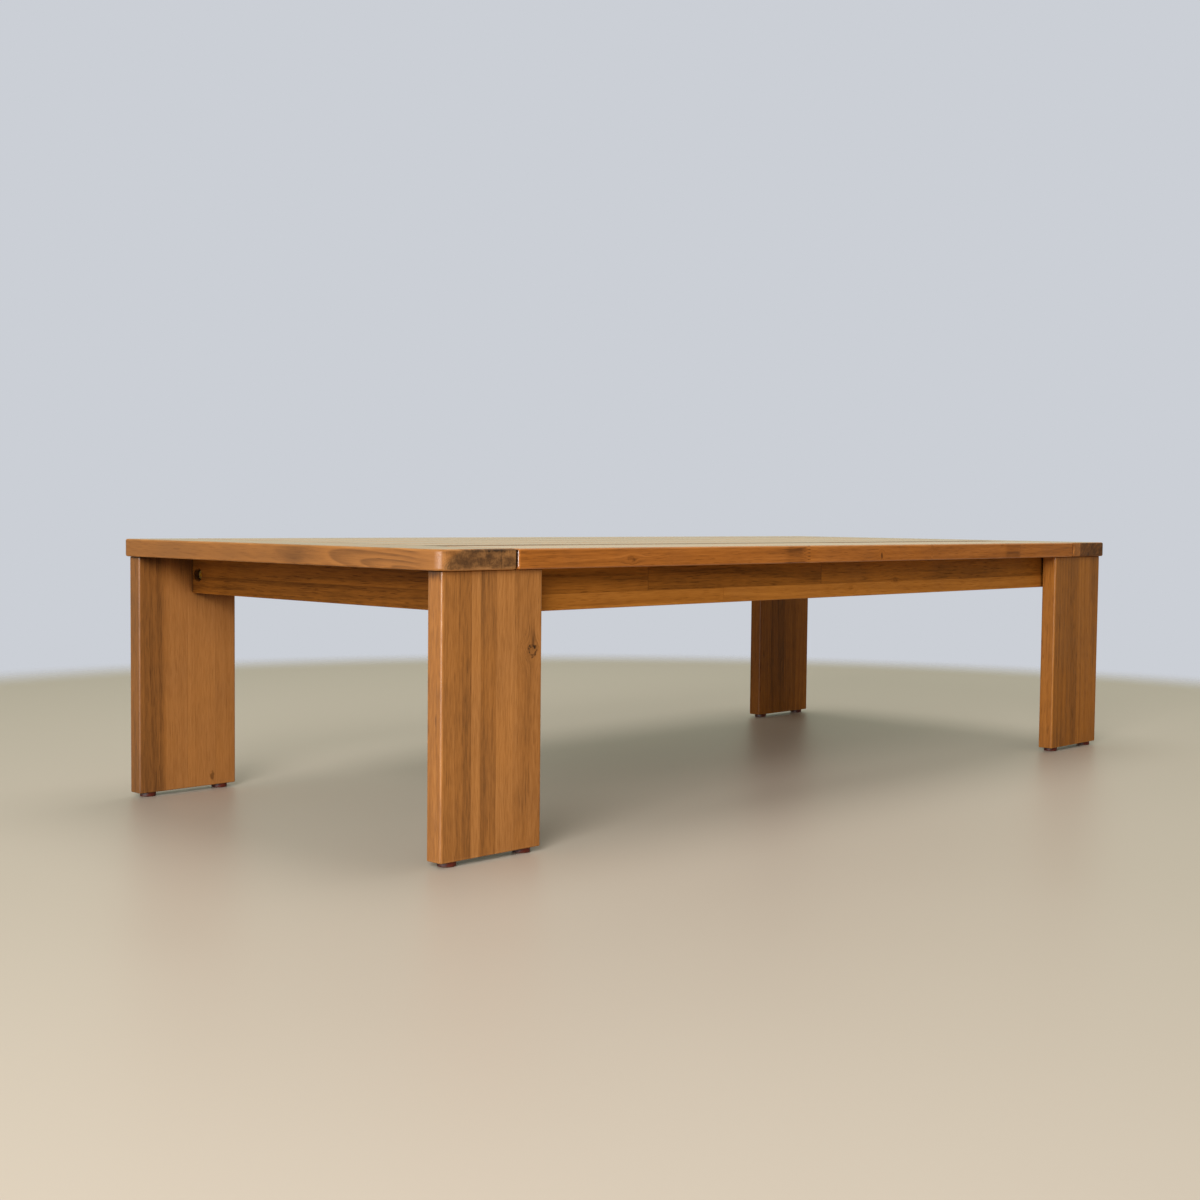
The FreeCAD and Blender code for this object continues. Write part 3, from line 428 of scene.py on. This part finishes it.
# a board's strips and marks, as its plain tone, its bands and where its grain comes from
def layBoard(tree, board, spot, along, across, depth):
    draw = random.Random(board["seed"])
    tone = board["tone"]
    bands = board["bands"]
    endTone = board["endTone"]
    seams = 0.0
    flow = spot
    lean = (0, -board["lean"][0], -board["lean"][1])
    fromPith = calcVector(tree, "SUBTRACT", spot, (0, *board["pith"]))
    fromPith = calcVector(tree, "MULTIPLY_ADD", along, lean, fromPith)

    def newTimber(mask):  # another piece of wood where the mask is 1
        nonlocal flow, fromPith
        step = tuple(draw.uniform(*span) for span in woodFinish["timberStep"])
        flow = calcVector(tree, "MULTIPLY_ADD", mask, step, flow)
        fromPith = calcVector(tree, "MULTIPLY_ADD", mask, (0, *step[1:]), fromPith)

    def recolour(mask, toneStep, bandStep=0.0):
        nonlocal tone, bands
        if toneStep:
            tone = shift(tree, tone, mask, toneStep)
        if bandStep:
            bands = shift(tree, bands, mask, bandStep)

    def addJoint(mask, place, toneStep, bandStep, finger):
        nonlocal seams
        cut = useGroup(tree, fingerJoint, Along=along, Depth=depth, Place=place, Reach=finger)
        beyond = calc(tree, "MULTIPLY", cut["Beyond"], mask)
        recolour(beyond, toneStep, bandStep)
        newTimber(beyond)
        seams = calc(tree, "MAXIMUM", seams, calc(tree, "MULTIPLY", cut["Seam"], mask))

    def softZone(place, start, end, soft):
        begun = rise(tree, place, start - soft, start + soft)
        return calc(tree, "MULTIPLY", begun, fall(tree, place, end - soft, end + soft))

    for index, strip in enumerate(board["strips"]):
        layer = useGroup(tree, gluedStrip, Across=across, From=strip["from"], To=strip["to"])
        mask = layer["Mask"]
        recolour(mask, strip.get("tone", 0), strip.get("bands", 0))
        if index:
            newTimber(mask)
        if "endTone" in strip:
            endTone = shift(tree, endTone, mask, strip["endTone"])
        seams = shift(tree, seams, layer["Seam"], woodFinish["glueLine"])
        for cut in strip.get("joints", []):
            addJoint(mask, *cut)
        for start, end, soft, toneStep, bandStep in strip.get("patches", []):
            recolour(calc(tree, "MULTIPLY", softZone(along, start, end, soft), mask), toneStep, bandStep)
    for start, end, soft, toneStep, bandStep in board["patches"]:
        recolour(softZone(along, start, end, soft), toneStep, bandStep)
    for start, end, soft, toneStep, bandStep in board["stainsAndPaintedLight"]:
        recolour(softZone(across, start, end, soft), toneStep, bandStep)
    for place, radii, toneStep in board["spots"]:
        recolour(useGroup(tree, softSpot, Vector=spot, Place=place, Radii=radii)["Mask"], toneStep)
    for place, size, stretch, coreTone, rimTone in board["knots"]:
        mark = useGroup(tree, knotMark, Vector=spot, Place=place, Size=size, Stretch=stretch)
        pull = calcVector(tree, "SUBTRACT", place, spot)
        pull = calcVector(tree, "MULTIPLY", pull, woodFinish["knotPull"])
        flow = calcVector(tree, "MULTIPLY_ADD", pull, mark["Pull"], flow)
        fromPith = calcVector(tree, "MULTIPLY_ADD", pull, mark["Pull"], fromPith)
        recolour(mark["Core"], coreTone)
        recolour(mark["Rim"], rimTone)
    return {"tone": tone, "bands": bands, "endTone": endTone, "seams": seams, "flow": flow,
            "fromPith": fromPith}


# dark heartwood begins at a bowed line across a sawn end, with growth rings near that line
def heartMasks(tree, heart, across, depth, blotch):
    bowed = shift(tree, heart["slope"], depth, heart["bow"])
    beyond = calc(tree, "SUBTRACT", across, shift(tree, heart["start"], depth, bowed))
    beyond = shift(tree, beyond, balanced(tree, blotch), heart["ragged"])
    rings = fall(tree, calc(tree, "PINGPONG", beyond, heart["ring"]), 0.0, heart["ringLine"])
    nearLine = fall(tree, calc(tree, "ABSOLUTE", beyond), *heart["ringReach"])
    return rise(tree, beyond, *heart["edge"]), calc(tree, "MULTIPLY", rings, nearLine)


def hardwood(name, axes, look):  # axes say which way the piece's board space lies
    board = {**plainBoard, **look}
    material, tree, shader = newMaterial(name + "_wood")
    low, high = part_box(name)
    order = ["XYZ".index(letter) for letter in axes]
    half = tuple((high - low)[index] / 2 for index in order)
    coords = addNode(tree, "TexCoord")
    facing = split(tree, coords.outputs["Normal"])
    fromMiddle = calcVector(tree, "SUBTRACT", coords.outputs["Object"], tuple((low + high) / 2))
    centred = split(tree, fromMiddle)
    along, across, depth = [centred[index] for index in order]
    spot = join(tree, along, across, depth)
    endFace = rise(tree, calc(tree, "ABSOLUTE", facing[order[0]]), *woodFinish["endFacing"])
    laid = layBoard(tree, board, spot, along, across, depth)
    seams = laid["seams"]

    grain = useGroup(tree, hardwoodGrain, Vector=laid["flow"], FromPith=laid["fromPith"],
                     Seed=board["seed"], RingWidth=board["ring"], Wander=board["wander"])
    banded = calc(tree, "SUBTRACT", woodFinish["meanBand"], grain["Bands"])
    tone = shift(tree, laid["tone"], banded, laid["bands"])
    for effect in ("Fibre", "Ribbon", "Flecks"):
        tone = shift(tree, tone, balanced(tree, grain[effect]), board[effect.lower()])
    for effect in ("Streaks", "Pores"):
        tone = shift(tree, tone, grain[effect], -board[effect.lower()])
    tone = shift(tree, tone, seams, -woodFinish["seamDark"])

    sawn = useGroup(tree, endGrain, Vector=spot, Seed=board["seed"])
    ends = calc(tree, "ADD", tone, laid["endTone"])
    ends = shift(tree, ends, balanced(tree, sawn["Blotch"]), board["blotch"])
    ends = shift(tree, ends, sawn["Speckle"], -woodFinish["speckleDark"])
    if board["heart"]:
        heartwood, rings = heartMasks(tree, board["heart"], across, depth, sawn["Blotch"])
        ends = shift(tree, ends, heartwood, board["heart"]["tone"])
        ends = shift(tree, ends, rings, -woodFinish["ringDark"])
    tone = mix(tree, endFace, tone, ends)

    # edges are made paler: partly wear, partly a painted highlight
    worn = useGroup(tree, edgeWearAndHighlight, Vector=spot, HalfSize=half, Width=woodFinish["paleEdgeWidth"],
                    Seed=board["seed"])
    tone = shift(tree, tone, worn["WearAndHighlight"], board["wearAndHighlight"])
    # painted shade: the tone is darkened where another surface is within a few millimetres
    gapShade = fall(tree, openness(tree, woodFinish["gapReach"]), *woodFinish["gapOpen"])
    tone = shift(tree, tone, gapShade, -board["creviceShade"])
    if board["shade"]:  # painted shade in the corners under the top
        corner = fall(tree, openness(tree, woodFinish["cornerShadeReach"]), *woodFinish["cornerShadeOpen"])
        height = split(tree, coords.outputs["Object"])[2]
        cornerShade = calc(tree, "MULTIPLY", corner, rise(tree, height, *woodFinish["cornerShadeHeight"]))
        tone = shift(tree, tone, cornerShade, -board["shade"])

    ribbon = balanced(tree, grain["Ribbon"])
    warmth = shift(tree, board["warmth"], ribbon, woodFinish["ribbonWarm"])
    warmth = shift(tree, warmth, endFace, -woodFinish["endCool"])
    colour = useGroup(tree, woodTone, Tone=tone, Warmth=warmth, Redness=board["redness"])["Colour"]
    if board["heart"]:
        greyed = calc(tree, "MULTIPLY", heartwood, endFace)
        colour = mixColour(tree, greyed, colour, woodColours["grey"], "MULTIPLY")
    feed(tree, shader.inputs["Base Color"], colour)

    gloss = shift(tree, board["roughness"], ribbon, woodFinish["ribbonRough"])
    gloss = shift(tree, gloss, grain["Pores"], woodFinish["poreRough"])
    gloss = shift(tree, gloss, endFace, woodFinish["endRough"])
    feed(tree, shader.inputs["Roughness"], gloss)
    shader.inputs["Specular IOR Level"].default_value = board["shine"]

    # rounded edges are rubbed to a polish, and the top has a film of oil where it isn't dry and dark
    nx, ny, nz = split(tree, calcVector(tree, "ABSOLUTE", coords.outputs["Normal"]))
    flatness = calc(tree, "MAXIMUM", nx, calc(tree, "MAXIMUM", ny, nz))
    rounded = fall(tree, flatness, *woodFinish["rubbedFacing"])
    polish = calc(tree, "MULTIPLY", rounded, board["polish"])
    if board["sheen"]:
        upward = rise(tree, facing[2], *woodFinish["topFacing"])
        oily = rise(tree, laid["tone"], *woodFinish["oilyTone"])
        polish = shift(tree, polish, calc(tree, "MULTIPLY", upward, oily), board["sheen"])
    feed(tree, shader.inputs["Coat Weight"], polish)
    shader.inputs["Coat Roughness"].default_value = woodFinish["coatRough"]

    relief = shift(tree, grain["Fibre"], grain["Pores"], -woodFinish["poreDepth"])
    relief = shift(tree, relief, seams, -woodFinish["seamDepth"])
    speckled = calc(tree, "MULTIPLY", sawn["Speckle"], endFace)
    relief = shift(tree, relief, speckled, -woodFinish["speckleDepth"])
    addBump(tree, shader, relief, woodFinish["bump"], woodFinish["bumpDepth"])
    dress(name, material)


def extent(name, letter):
    low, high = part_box(name)
    return (high - low)["XYZ".index(letter)]


legWidth = extent("leg_front_left", "X")
legFace = -extent("leg_front_left", "Y") / 2
legTop = extent("leg_front_left", "Z") / 2


def legPlace(share):  # from 0 at a leg's left edge to 1 at its right edge
    return legWidth * (share - 0.5)


def legStrips(shares, *steps):
    return stripRow([legPlace(share) for share in shares], *steps)


narrowFace = (legPlace(-0.1), legPlace(0.03))
legs = {
    "leg_front_left": {
        "seed": 11, "tone": 0.5, "warmth": 0.4, "streaks": 0.03, "bands": 0.04, "fibre": 0.4,
        "flecks": 0.1, "pores": 0.1, "polish": 0.25, "creviceShade": 0.08, "shade": 0.08,
        "strips": legStrips(
            (0.285, 0.378, 0.53, 0.706, 0.716), {}, {"tone": 0.15, "bands": -0.04}, {"tone": -0.02},
            {"tone": 0.12}, {"tone": 0.16}, {"tone": 0.03, "bands": 0.03}),
        "stainsAndPaintedLight": [zone(legPlace(0.19), legPlace(0.3), soft=0.008, tone=-0.08),
                   zone(legPlace(0.36), legPlace(0.44), soft=0.005, tone=-0.05)],
        "knots": [knotAt((0.0619, 0.0558, legFace), size=0.0058, stretch=(1, 1, 1),
                         core=-0.04, rim=-0.46)],
        "spots": [spotAt((0.0745, 0.0572, legFace), radii=(0.016, 0.0048, 0.006), tone=-0.24),
                  # painted shadow of the top's overhang, at the top of the narrow face
                  spotAt((legTop + 0.00275, legPlace(0), 0), radii=(0.017, 0.0045, 0.04), tone=-0.36)],
    },
    "leg_back_left": {
        "seed": 12, "tone": 0.59, "warmth": 0.35, "streaks": 0.02, "bands": 0.03, "fibre": 0.26,
        "pores": 0.08, "polish": 0.03, "wearAndHighlight": 0.05, "shade": 0.4,
        "strips": legStrips((0.49, 0.78), {}, {"tone": 0.02}, {"tone": -0.01}),
        "stainsAndPaintedLight": [zone(*narrowFace, soft=0.004, tone=-0.2),
                   zone(legPlace(0.03), legPlace(0.25), soft=0.007, tone=-0.22, bands=0.03)],
        "knots": [knotAt((-0.137, 0.035, legFace), size=0.0028, stretch=(2.4, 1.1, 1),
                         core=-0.28, rim=-0.12)],
    },
    "leg_front_right": {
        "seed": 13, "tone": 0.46, "warmth": 0.9, "streaks": 0.05, "fibre": 0.45,
        "shine": 0.06, "polish": 0.7,
        "strips": legStrips((0.3, 0.53, 0.8), {}, {"tone": -0.02}, {"tone": 0.06}, {"tone": 0.02}),
        # painted highlight: the narrow face is made paler
        "stainsAndPaintedLight": [zone(*narrowFace, soft=0.004, tone=0.08)],
    },
    "leg_back_right": {
        "seed": 14, "tone": 0.42, "warmth": 1.0, "streaks": 0.05, "fibre": 0.4,
        "shine": 0.06, "polish": 0.1,
        "strips": legStrips((0.22, 0.5, 0.74), {"tone": 0.03}, {"tone": -0.06}, {}, {"tone": 0.06}),
    },
}
for name, look in legs.items():
    hardwood(name, "ZXY", look)
print("legs finished")


slatWidth = extent("slat_middle", "Y")
slatLength = extent("slat_middle", "X")
frontFace = -slatWidth / 2
fingerLength = 0.011
topStrips = {"count": 3, "seamShift": 0.007, "tone": 0.06, "bands": 0.02,
             "firstJoint": (0.16, 0.5), "nextJoint": (0.34, 0.56), "endClear": 0.12}


def jointedStrips(seed):  # finger-jointed strips for a slat
    draw = random.Random(seed)
    toneRange = (-topStrips["tone"], topStrips["tone"])
    bandRange = (-topStrips["bands"], topStrips["bands"])
    edges = []
    for index in range(topStrips["count"] + 1):
        seamShift = draw.uniform(-topStrips["seamShift"], topStrips["seamShift"])
        edges.append(slatWidth * (index / topStrips["count"] - 0.5) + seamShift)
    steps = []
    for strip in range(topStrips["count"]):
        tone = firstTone = draw.uniform(*toneRange)
        joints = []
        place = -slatLength / 2 + draw.uniform(*topStrips["firstJoint"])
        while place < slatLength / 2 - topStrips["endClear"]:
            nextTone = draw.uniform(*toneRange)
            joints.append(jointAt(place, nextTone - tone, draw.uniform(*bandRange), fingerLength))
            tone = nextTone
            place += draw.uniform(*topStrips["nextJoint"])
        steps.append({"tone": firstTone, "joints": joints})
    return stripRow(edges[1:-1], *steps)


topBoard = {"sheen": 0.85, "shine": 0.12, "polish": 1.0, "warmth": 0.85, "redness": 0.3, "streaks": 0.1}
# painted shade: the slat ends next to the end boards are darkened, standing in for the shaded joints
endGapShadeLength = 0.01
endGapShade = {"soft": 0.01, "tone": -0.12}
endGapShadeZones = [zone(-slatLength, endGapShadeLength - slatLength / 2, **endGapShade),
              zone(slatLength / 2 - endGapShadeLength, slatLength, **endGapShade)]
# painted shade: a dark strip along the front of the inner slat stands in for the shaded step at the
# first gap
frontGapShade = zone(-slatWidth, frontFace + 0.036, soft=0.002, tone=-0.2)
slats = {
    "slat_front_outer": {
        "seed": 21, "tone": 0.53, "redness": 0.6, "sheen": 1.0, "shine": 0.05,
        "strips": stripRow(
            (-0.025, 0.018),
            {"joints": [jointAt(-0.095, finger=fingerLength), jointAt(0.4315, tone=0.04)],
             "patches": [zone(-0.136, -0.1, soft=0.008, tone=-0.11, bands=0.06),
                         zone(0.392, 0.43, soft=0.006, tone=-0.13, bands=0.06)]},
            {"tone": 0.04, "joints": [jointAt(-0.31, tone=-0.06, finger=fingerLength),
                                      jointAt(0.14, tone=0.05, bands=0.02, finger=fingerLength)]},
            {"tone": -0.02, "joints": [jointAt(-0.12, tone=0.05, finger=fingerLength),
                                       jointAt(0.36, tone=-0.03, bands=0.02, finger=fingerLength)]}),
        "knots": [
            knotAt((-0.42, frontFace, -0.002), size=0.003, stretch=(2, 1, 1), core=-0.06, rim=-0.1),
            knotAt((0.0713, frontFace, -0.0045), size=0.0036, stretch=(0.6, 1, 1.2),
                   core=-0.3, rim=-0.2),
            knotAt((0.193, frontFace, -0.003), size=0.002, stretch=(0.5, 1, 3), core=-0.08, rim=-0.05)],
    },
    "slat_front_inner": {"seed": 22, "strips": jointedStrips(22), "stainsAndPaintedLight": [frontGapShade],
                         "patches": endGapShadeZones},
    "slat_middle": {"seed": 23, "strips": jointedStrips(23), "patches": endGapShadeZones},
    "slat_back_inner": {"seed": 24, "strips": jointedStrips(24)},
    "slat_back_outer": {"seed": 25, "strips": jointedStrips(25)},
}
for name, look in slats.items():
    hardwood(name, "XYZ", {**topBoard, **look})
print("slats finished")


boardFront = -extent("end_board_left", "Y") / 2
boardTop = extent("end_board_left", "Z") / 2
endSkin = 0.012


def endSpot(across, depth, width, height, tone):  # on the front sawn end
    return spotAt((boardFront, across, depth), (endSkin, width, height), tone)


endBoards = {
    "end_board_left": {
        "seed": 31, "tone": 0.44, "warmth": 0.4, "redness": 0.0, "sheen": 0.75, "polish": 0.13,
        "wearAndHighlight": 0.2, "bands": 0.015, "streaks": 0.03, "fibre": 0.22, "flecks": 0.02, "pores": 0.06,
        "pith": (-0.0274, 0.0107), "lean": (0.09, 0.087), "ring": 0.005, "wander": 0.006,
        "strips": stripRow((0.03,), {}, {"tone": 0.02, "endTone": 0.05}),
        "patches": [zone(-0.27, -0.112, soft=0.01, tone=-0.02, bands=0.135),
                    zone(-0.33, -0.27, soft=0.025, tone=0.06)],
        "spots": [spotAt((-0.058, -0.052, 0.0), radii=(0.055, 0.04, 0.028), tone=-0.1),
                  endSpot(0.022, boardTop - 0.0002, width=0.075, height=0.0045, tone=-0.36),
                  endSpot(0.004, 0.0005 - boardTop, width=0.09, height=0.0042, tone=0.16),
                  endSpot(-0.0234, -0.0016, width=0.006, height=0.005, tone=-0.07),
                  endSpot(0.0013, -0.0016, width=0.0075, height=0.006, tone=-0.14),
                  endSpot(0.013, -0.001, width=0.01, height=0.01, tone=-0.16),
                  endSpot(0.043, 0.0, width=0.017, height=0.013, tone=-0.08)],
        "endTone": -0.03, "blotch": 0.8,
        "heart": {"start": -0.0397, "slope": 1.157, "bow": 57, "ragged": 0.008, "edge": (-0.006, 0.004),
                  "tone": -0.14, "ring": 0.0013, "ringLine": 0.0008, "ringReach": (0.002, 0.012)},
    },
    "end_board_right": {
        "seed": 32, "tone": 0.47, "warmth": 0.7, "fibre": 0.5, "polish": 0.05, "wearAndHighlight": 0.04,
        "strips": stripRow((-0.031,), {"tone": 0.02, "endTone": 0.24}, {"tone": -0.02}),
        "endTone": -0.2, "blotch": 0.4,
    },
}
for name, look in endBoards.items():
    hardwood(name, "YXZ", {**topBoard, **look})
print("end boards finished")


apronFace = -extent("long_apron_front", "Y") / 2
pinKnot = {"size": 0.003, "stretch": (1.6, 1, 1), "core": -0.08, "rim": -0.08}
apron = {"warmth": 1.0, "shine": 0.02}
longAprons = {
    "long_apron_front": {
        "seed": 41, "tone": 0.45, "streaks": 0.1, "fibre": 0.45,
        "strips": stripRow(
            (-0.0055,), {"tone": 0.17, "joints": [jointAt(-0.2195, tone=0.02)]},
            {"joints": [jointAt(-0.357, tone=-0.06), jointAt(-0.02, tone=0.05)]}),
        "knots": [knotAt((0.0467, -0.012, apronFace), **pinKnot),
                  knotAt((0.151, -0.004, apronFace), **pinKnot)],
    },
    "long_apron_back": {
        "seed": 42, "tone": 0.46,
        "strips": stripRow(
            (0.004,), {"tone": 0.03, "joints": [jointAt(0.12, tone=-0.06)]},
            {"tone": -0.03, "joints": [jointAt(-0.2, tone=0.08), jointAt(0.33, tone=-0.05)]}),
    },
}
for name, look in longAprons.items():
    hardwood(name, "XZY", {**apron, **look})
shortAprons = {
    "short_apron_left": {"seed": 43, "tone": 0.42, "shade": 0.12, "streaks": 0.07, "fibre": 0.4,
                         "strips": stripRow((-0.002,), {"tone": -0.06}, {"tone": 0.03})},
    "short_apron_right": {"seed": 44, "tone": 0.42,
                          "strips": stripRow((0.006,), {"tone": -0.02}, {"tone": 0.04})},
}
for name, look in shortAprons.items():
    hardwood(name, "YZX", {**apron, **look})
battens = {
    "batten_left": {"seed": 51, "tone": 0.46, "roughness": 0.52},
    "batten_middle": {"seed": 52, "tone": 0.41, "roughness": 0.52},
    "batten_right": {"seed": 53, "tone": 0.49, "roughness": 0.52},
}
for name, look in battens.items():
    hardwood(name, "YXZ", look)
print("aprons and battens finished")


# turned beech dowels, each row with its own seed and the way that its dowels lie
beech = {"tone": 0.9, "warmth": 0.1, "bands": 0.05, "streaks": 0.05, "fibre": 0.25, "pores": 0.18,
         "endTone": -0.1, "wearAndHighlight": 0.0, "roughness": 0.55}
dowels = {"slat_dowels_left": (61, "XYZ"), "slat_dowels_right": (62, "XYZ"),
          "corner_dowels": (63, "XZY"), "batten_dowels": (64, "YXZ")}
for name, (seed, axes) in dowels.items():
    hardwood(name, axes, {**beech, "seed": seed})
print("dowels finished")


# yellow-plated bolts, washers and nuts, bright screws, plain nails
bright = {"colour": (198, 196, 190), "roughness": 0.33}
metals = {
    "apron_bolts": {"colour": (206, 170, 84), "dull": (150, 116, 52), "roughness": 0.3, "seed": 3.1},
    "bolt_washers": {"colour": (200, 166, 92), "dull": (146, 116, 60), "roughness": 0.34, "seed": 4.2},
    "barrel_nuts": {"colour": (196, 164, 96), "dull": (140, 112, 62), "roughness": 0.36, "seed": 5.3},
    "batten_screws": {**bright, "dull": (148, 146, 138), "seed": 6.4},
    "long_apron_screws": {**bright, "dull": (146, 144, 138), "seed": 7.5},
    "short_apron_screws": {**bright, "dull": (146, 144, 138), "seed": 8.6},
    "glide_nails": {"colour": (150, 148, 144), "dull": (104, 100, 94), "roughness": 0.42, "seed": 9.7},
}
metalFinish = {"blotchRough": -0.2, "scratchRough": 0.12, "bump": 0.2, "bumpDepth": 0.0002}
for name, look in metals.items():
    material, tree, shader = newMaterial(name + "_metal")
    shader.inputs["Metallic"].default_value = 1.0
    coords = addNode(tree, "TexCoord")
    marks = useGroup(tree, scuffs, Vector=coords.outputs["Object"], Seed=look["seed"])
    colour = mixColour(tree, marks["Blotch"], paint(*look["dull"]), paint(*look["colour"]))
    feed(tree, shader.inputs["Base Color"], colour)
    gloss = shift(tree, look["roughness"], balanced(tree, marks["Blotch"]), metalFinish["blotchRough"])
    gloss = shift(tree, gloss, marks["Scratch"], metalFinish["scratchRough"])
    feed(tree, shader.inputs["Roughness"], gloss)
    addBump(tree, shader, marks["Scratch"], metalFinish["bump"], metalFinish["bumpDepth"])
    dress(name, material)


# dark red-brown moulded glides, scuffed pale near the floor
glides = {"colour": (104, 36, 22), "dull": (62, 23, 15), "roughness": 0.5, "blotchRough": 0.2,
          "scuff": (112, 74, 58), "scuffHeight": 0.0016, "scuffLevels": (0.42, 0.6),
          "shine": 0.2, "bump": 0.15, "bumpDepth": 0.0002, "seed": 2.3}
material, tree, shader = newMaterial("glide_plastic")
coords = addNode(tree, "TexCoord")
marks = useGroup(tree, scuffs, Vector=coords.outputs["Object"], Seed=glides["seed"])
colour = mixColour(tree, marks["Blotch"], paint(*glides["dull"]), paint(*glides["colour"]))
height = split(tree, coords.outputs["Object"])[2]
worn = fall(tree, height, 0.0, glides["scuffHeight"])
worn = calc(tree, "MULTIPLY", worn, rise(tree, marks["Blotch"], *glides["scuffLevels"]))
colour = mixColour(tree, worn, colour, paint(*glides["scuff"]))
feed(tree, shader.inputs["Base Color"], colour)
gloss = shift(tree, glides["roughness"], balanced(tree, marks["Blotch"]), glides["blotchRough"])
feed(tree, shader.inputs["Roughness"], gloss)
shader.inputs["Specular IOR Level"].default_value = glides["shine"]
addBump(tree, shader, marks["Blotch"], glides["bump"], glides["bumpDepth"])
for name in pieces:
    if name.startswith("glide_") and name != "glide_nails":
        dress(name, material)
print("metal and plastic finished")


studio = {
    "floorColour": (186, 173, 157), "floorRoughness": 0.42, "floorShine": 0.25,
    "cloud": (255, 250, 244), "cloudScale": (1.4, 1.4, 1.4), "cloudShare": 0.06, "cloudRough": 0.08,
    "floorRadius": 2.6, "floorSides": 128, "fadeFrom": 1.62, "fadeTo": 2.0, "touching": 0.0006,
    "backdrop": (203, 207, 214), "reflected": (226, 235, 210), "reflectedLevel": 0.94,
    "ambient": (244, 238, 228), "ambientLevel": 0.4, "aim": (0, 0, 0.2),
    "keyFrom": (-3.1, -1.7, 1.5), "keySize": (1.8, 1.8), "keyPower": 112,
    "topFrom": (0.3, 0.1, 2.6), "topSize": (1.8, 1.8), "topPower": 26,
    "glintFrom": (-3.25, -0.45, 0.3), "glintSize": (3.7, 0.5), "glintPower": 205,
}
bpy.ops.mesh.primitive_circle_add(
    vertices=studio["floorSides"], radius=studio["floorRadius"], fill_type="NGON")
floor = bpy.context.object
floor.name = "studio_floor"
material, tree, shader = newMaterial("pale_floor")
shader.inputs["Specular IOR Level"].default_value = studio["floorShine"]
coords = addNode(tree, "TexCoord")
cloud = noise(tree, coords.outputs["Object"], studio["cloudScale"])
tint = calc(tree, "MULTIPLY", cloud, studio["cloudShare"])
colour = mixColour(tree, tint, paint(*studio["floorColour"]), paint(*studio["cloud"]))
feed(tree, shader.inputs["Base Color"], colour)
gloss = shift(tree, studio["floorRoughness"], balanced(tree, cloud), studio["cloudRough"])
feed(tree, shader.inputs["Roughness"], gloss)

# the floor is clear from below, past its faded rim and to rays that start on a glide standing on it
reach = calcVector(tree, "LENGTH", coords.outputs["Object"])
below = addNode(tree, "NewGeometry").outputs["Backfacing"]
gone = calc(tree, "MAXIMUM", below, rise(tree, reach, studio["fadeFrom"], studio["fadeTo"]))
touching = calc(tree, "LESS_THAN", addNode(tree, "LightPath").outputs["Ray Length"], studio["touching"])
clear = addNode(tree, "BsdfTransparent")
blend = addNode(tree, "MixShader")
gone = calc(tree, "MAXIMUM", gone, touching)
feedAll(tree, blend.inputs, gone, shader.outputs[0], clear.outputs[0])
feed(tree, tree.nodes["Material Output"].inputs["Surface"], blend.outputs[0])
floor.data.materials.append(material)

# the camera sees the backdrop, reflections see a warmer tint, and other light is a soft even glow
world = bpy.data.worlds.new("studio")
scene.world = world
world.use_nodes = True
tree = world.node_tree
tree.nodes.clear()
path = addNode(tree, "LightPath")


def addSky(colour, strength):
    sky = addNode(tree, "Background")
    sky.inputs["Color"].default_value = paint(*colour)
    sky.inputs["Strength"].default_value = strength
    return sky.outputs[0]


def chooseSky(factor, usual, chosen):
    blend = addNode(tree, "MixShader")
    feedAll(tree, blend.inputs, factor, usual, chosen)
    return blend.outputs[0]


glow = addSky(studio["ambient"], studio["ambientLevel"])
reflected = addSky(studio["reflected"], studio["reflectedLevel"])
backdrop = addSky(studio["backdrop"], 1.0)
light = chooseSky(path.outputs["Is Glossy Ray"], glow, reflected)
seen = calc(tree, "MAXIMUM", path.outputs["Is Camera Ray"], path.outputs["Is Transmission Ray"])
light = chooseSky(seen, light, backdrop)
feed(tree, addNode(tree, "OutputWorld").inputs["Surface"], light)


def addLight(name):
    light = bpy.data.lights.new(name, "AREA")
    light.shape = "ELLIPSE"
    light.size, light.size_y = studio[name + "Size"]
    light.energy = studio[name + "Power"]
    lamp = bpy.data.objects.new(name, light)
    scene.collection.objects.link(lamp)
    lamp.location = studio[name + "From"]
    lamp.rotation_euler = (Vector(studio["aim"]) - lamp.location).to_track_quat("-Z", "Y").to_euler()
    return lamp


# the key lights the wood without glaring in it, and a low strip light only glints on polished edges
key = addLight("key")
key.visible_glossy = False
glint = addLight("glint")
glint.visible_diffuse = False
glinting = bpy.data.collections.new("glinting")
for item in pieces.values():
    glinting.objects.link(item)
glint.light_linking.receiver_collection = glinting
addLight("top")
print("studio set")


# angles are in radians: heading from +Y towards +X, down from level, roll about the line of sight
view = {"place": (-1.7845, -1.5715, 0.3626), "heading": 0.8045, "down": 0.0516, "roll": 0.0103,
        "lens": 49.73, "sensor": 36}
heading, down, roll = view["heading"], view["down"], view["roll"]
ahead = Vector((math.sin(heading), math.cos(heading), 0))
forward = math.cos(down) * ahead - math.sin(down) * Vector((0, 0, 1))
level = Vector((math.cos(heading), -math.sin(heading), 0))
upright = level.cross(forward)
right = math.cos(roll) * level + math.sin(roll) * upright
above = -math.sin(roll) * level + math.cos(roll) * upright
camera = bpy.data.objects.new("camera", bpy.data.cameras.new("camera"))
scene.collection.objects.link(camera)
camera.data.sensor_width = view["sensor"]
camera.data.lens = view["lens"]
turned = Matrix((right, above, -forward)).transposed().to_4x4()
camera.matrix_world = Matrix.Translation(view["place"]) @ turned
scene.camera = camera
print("camera set")
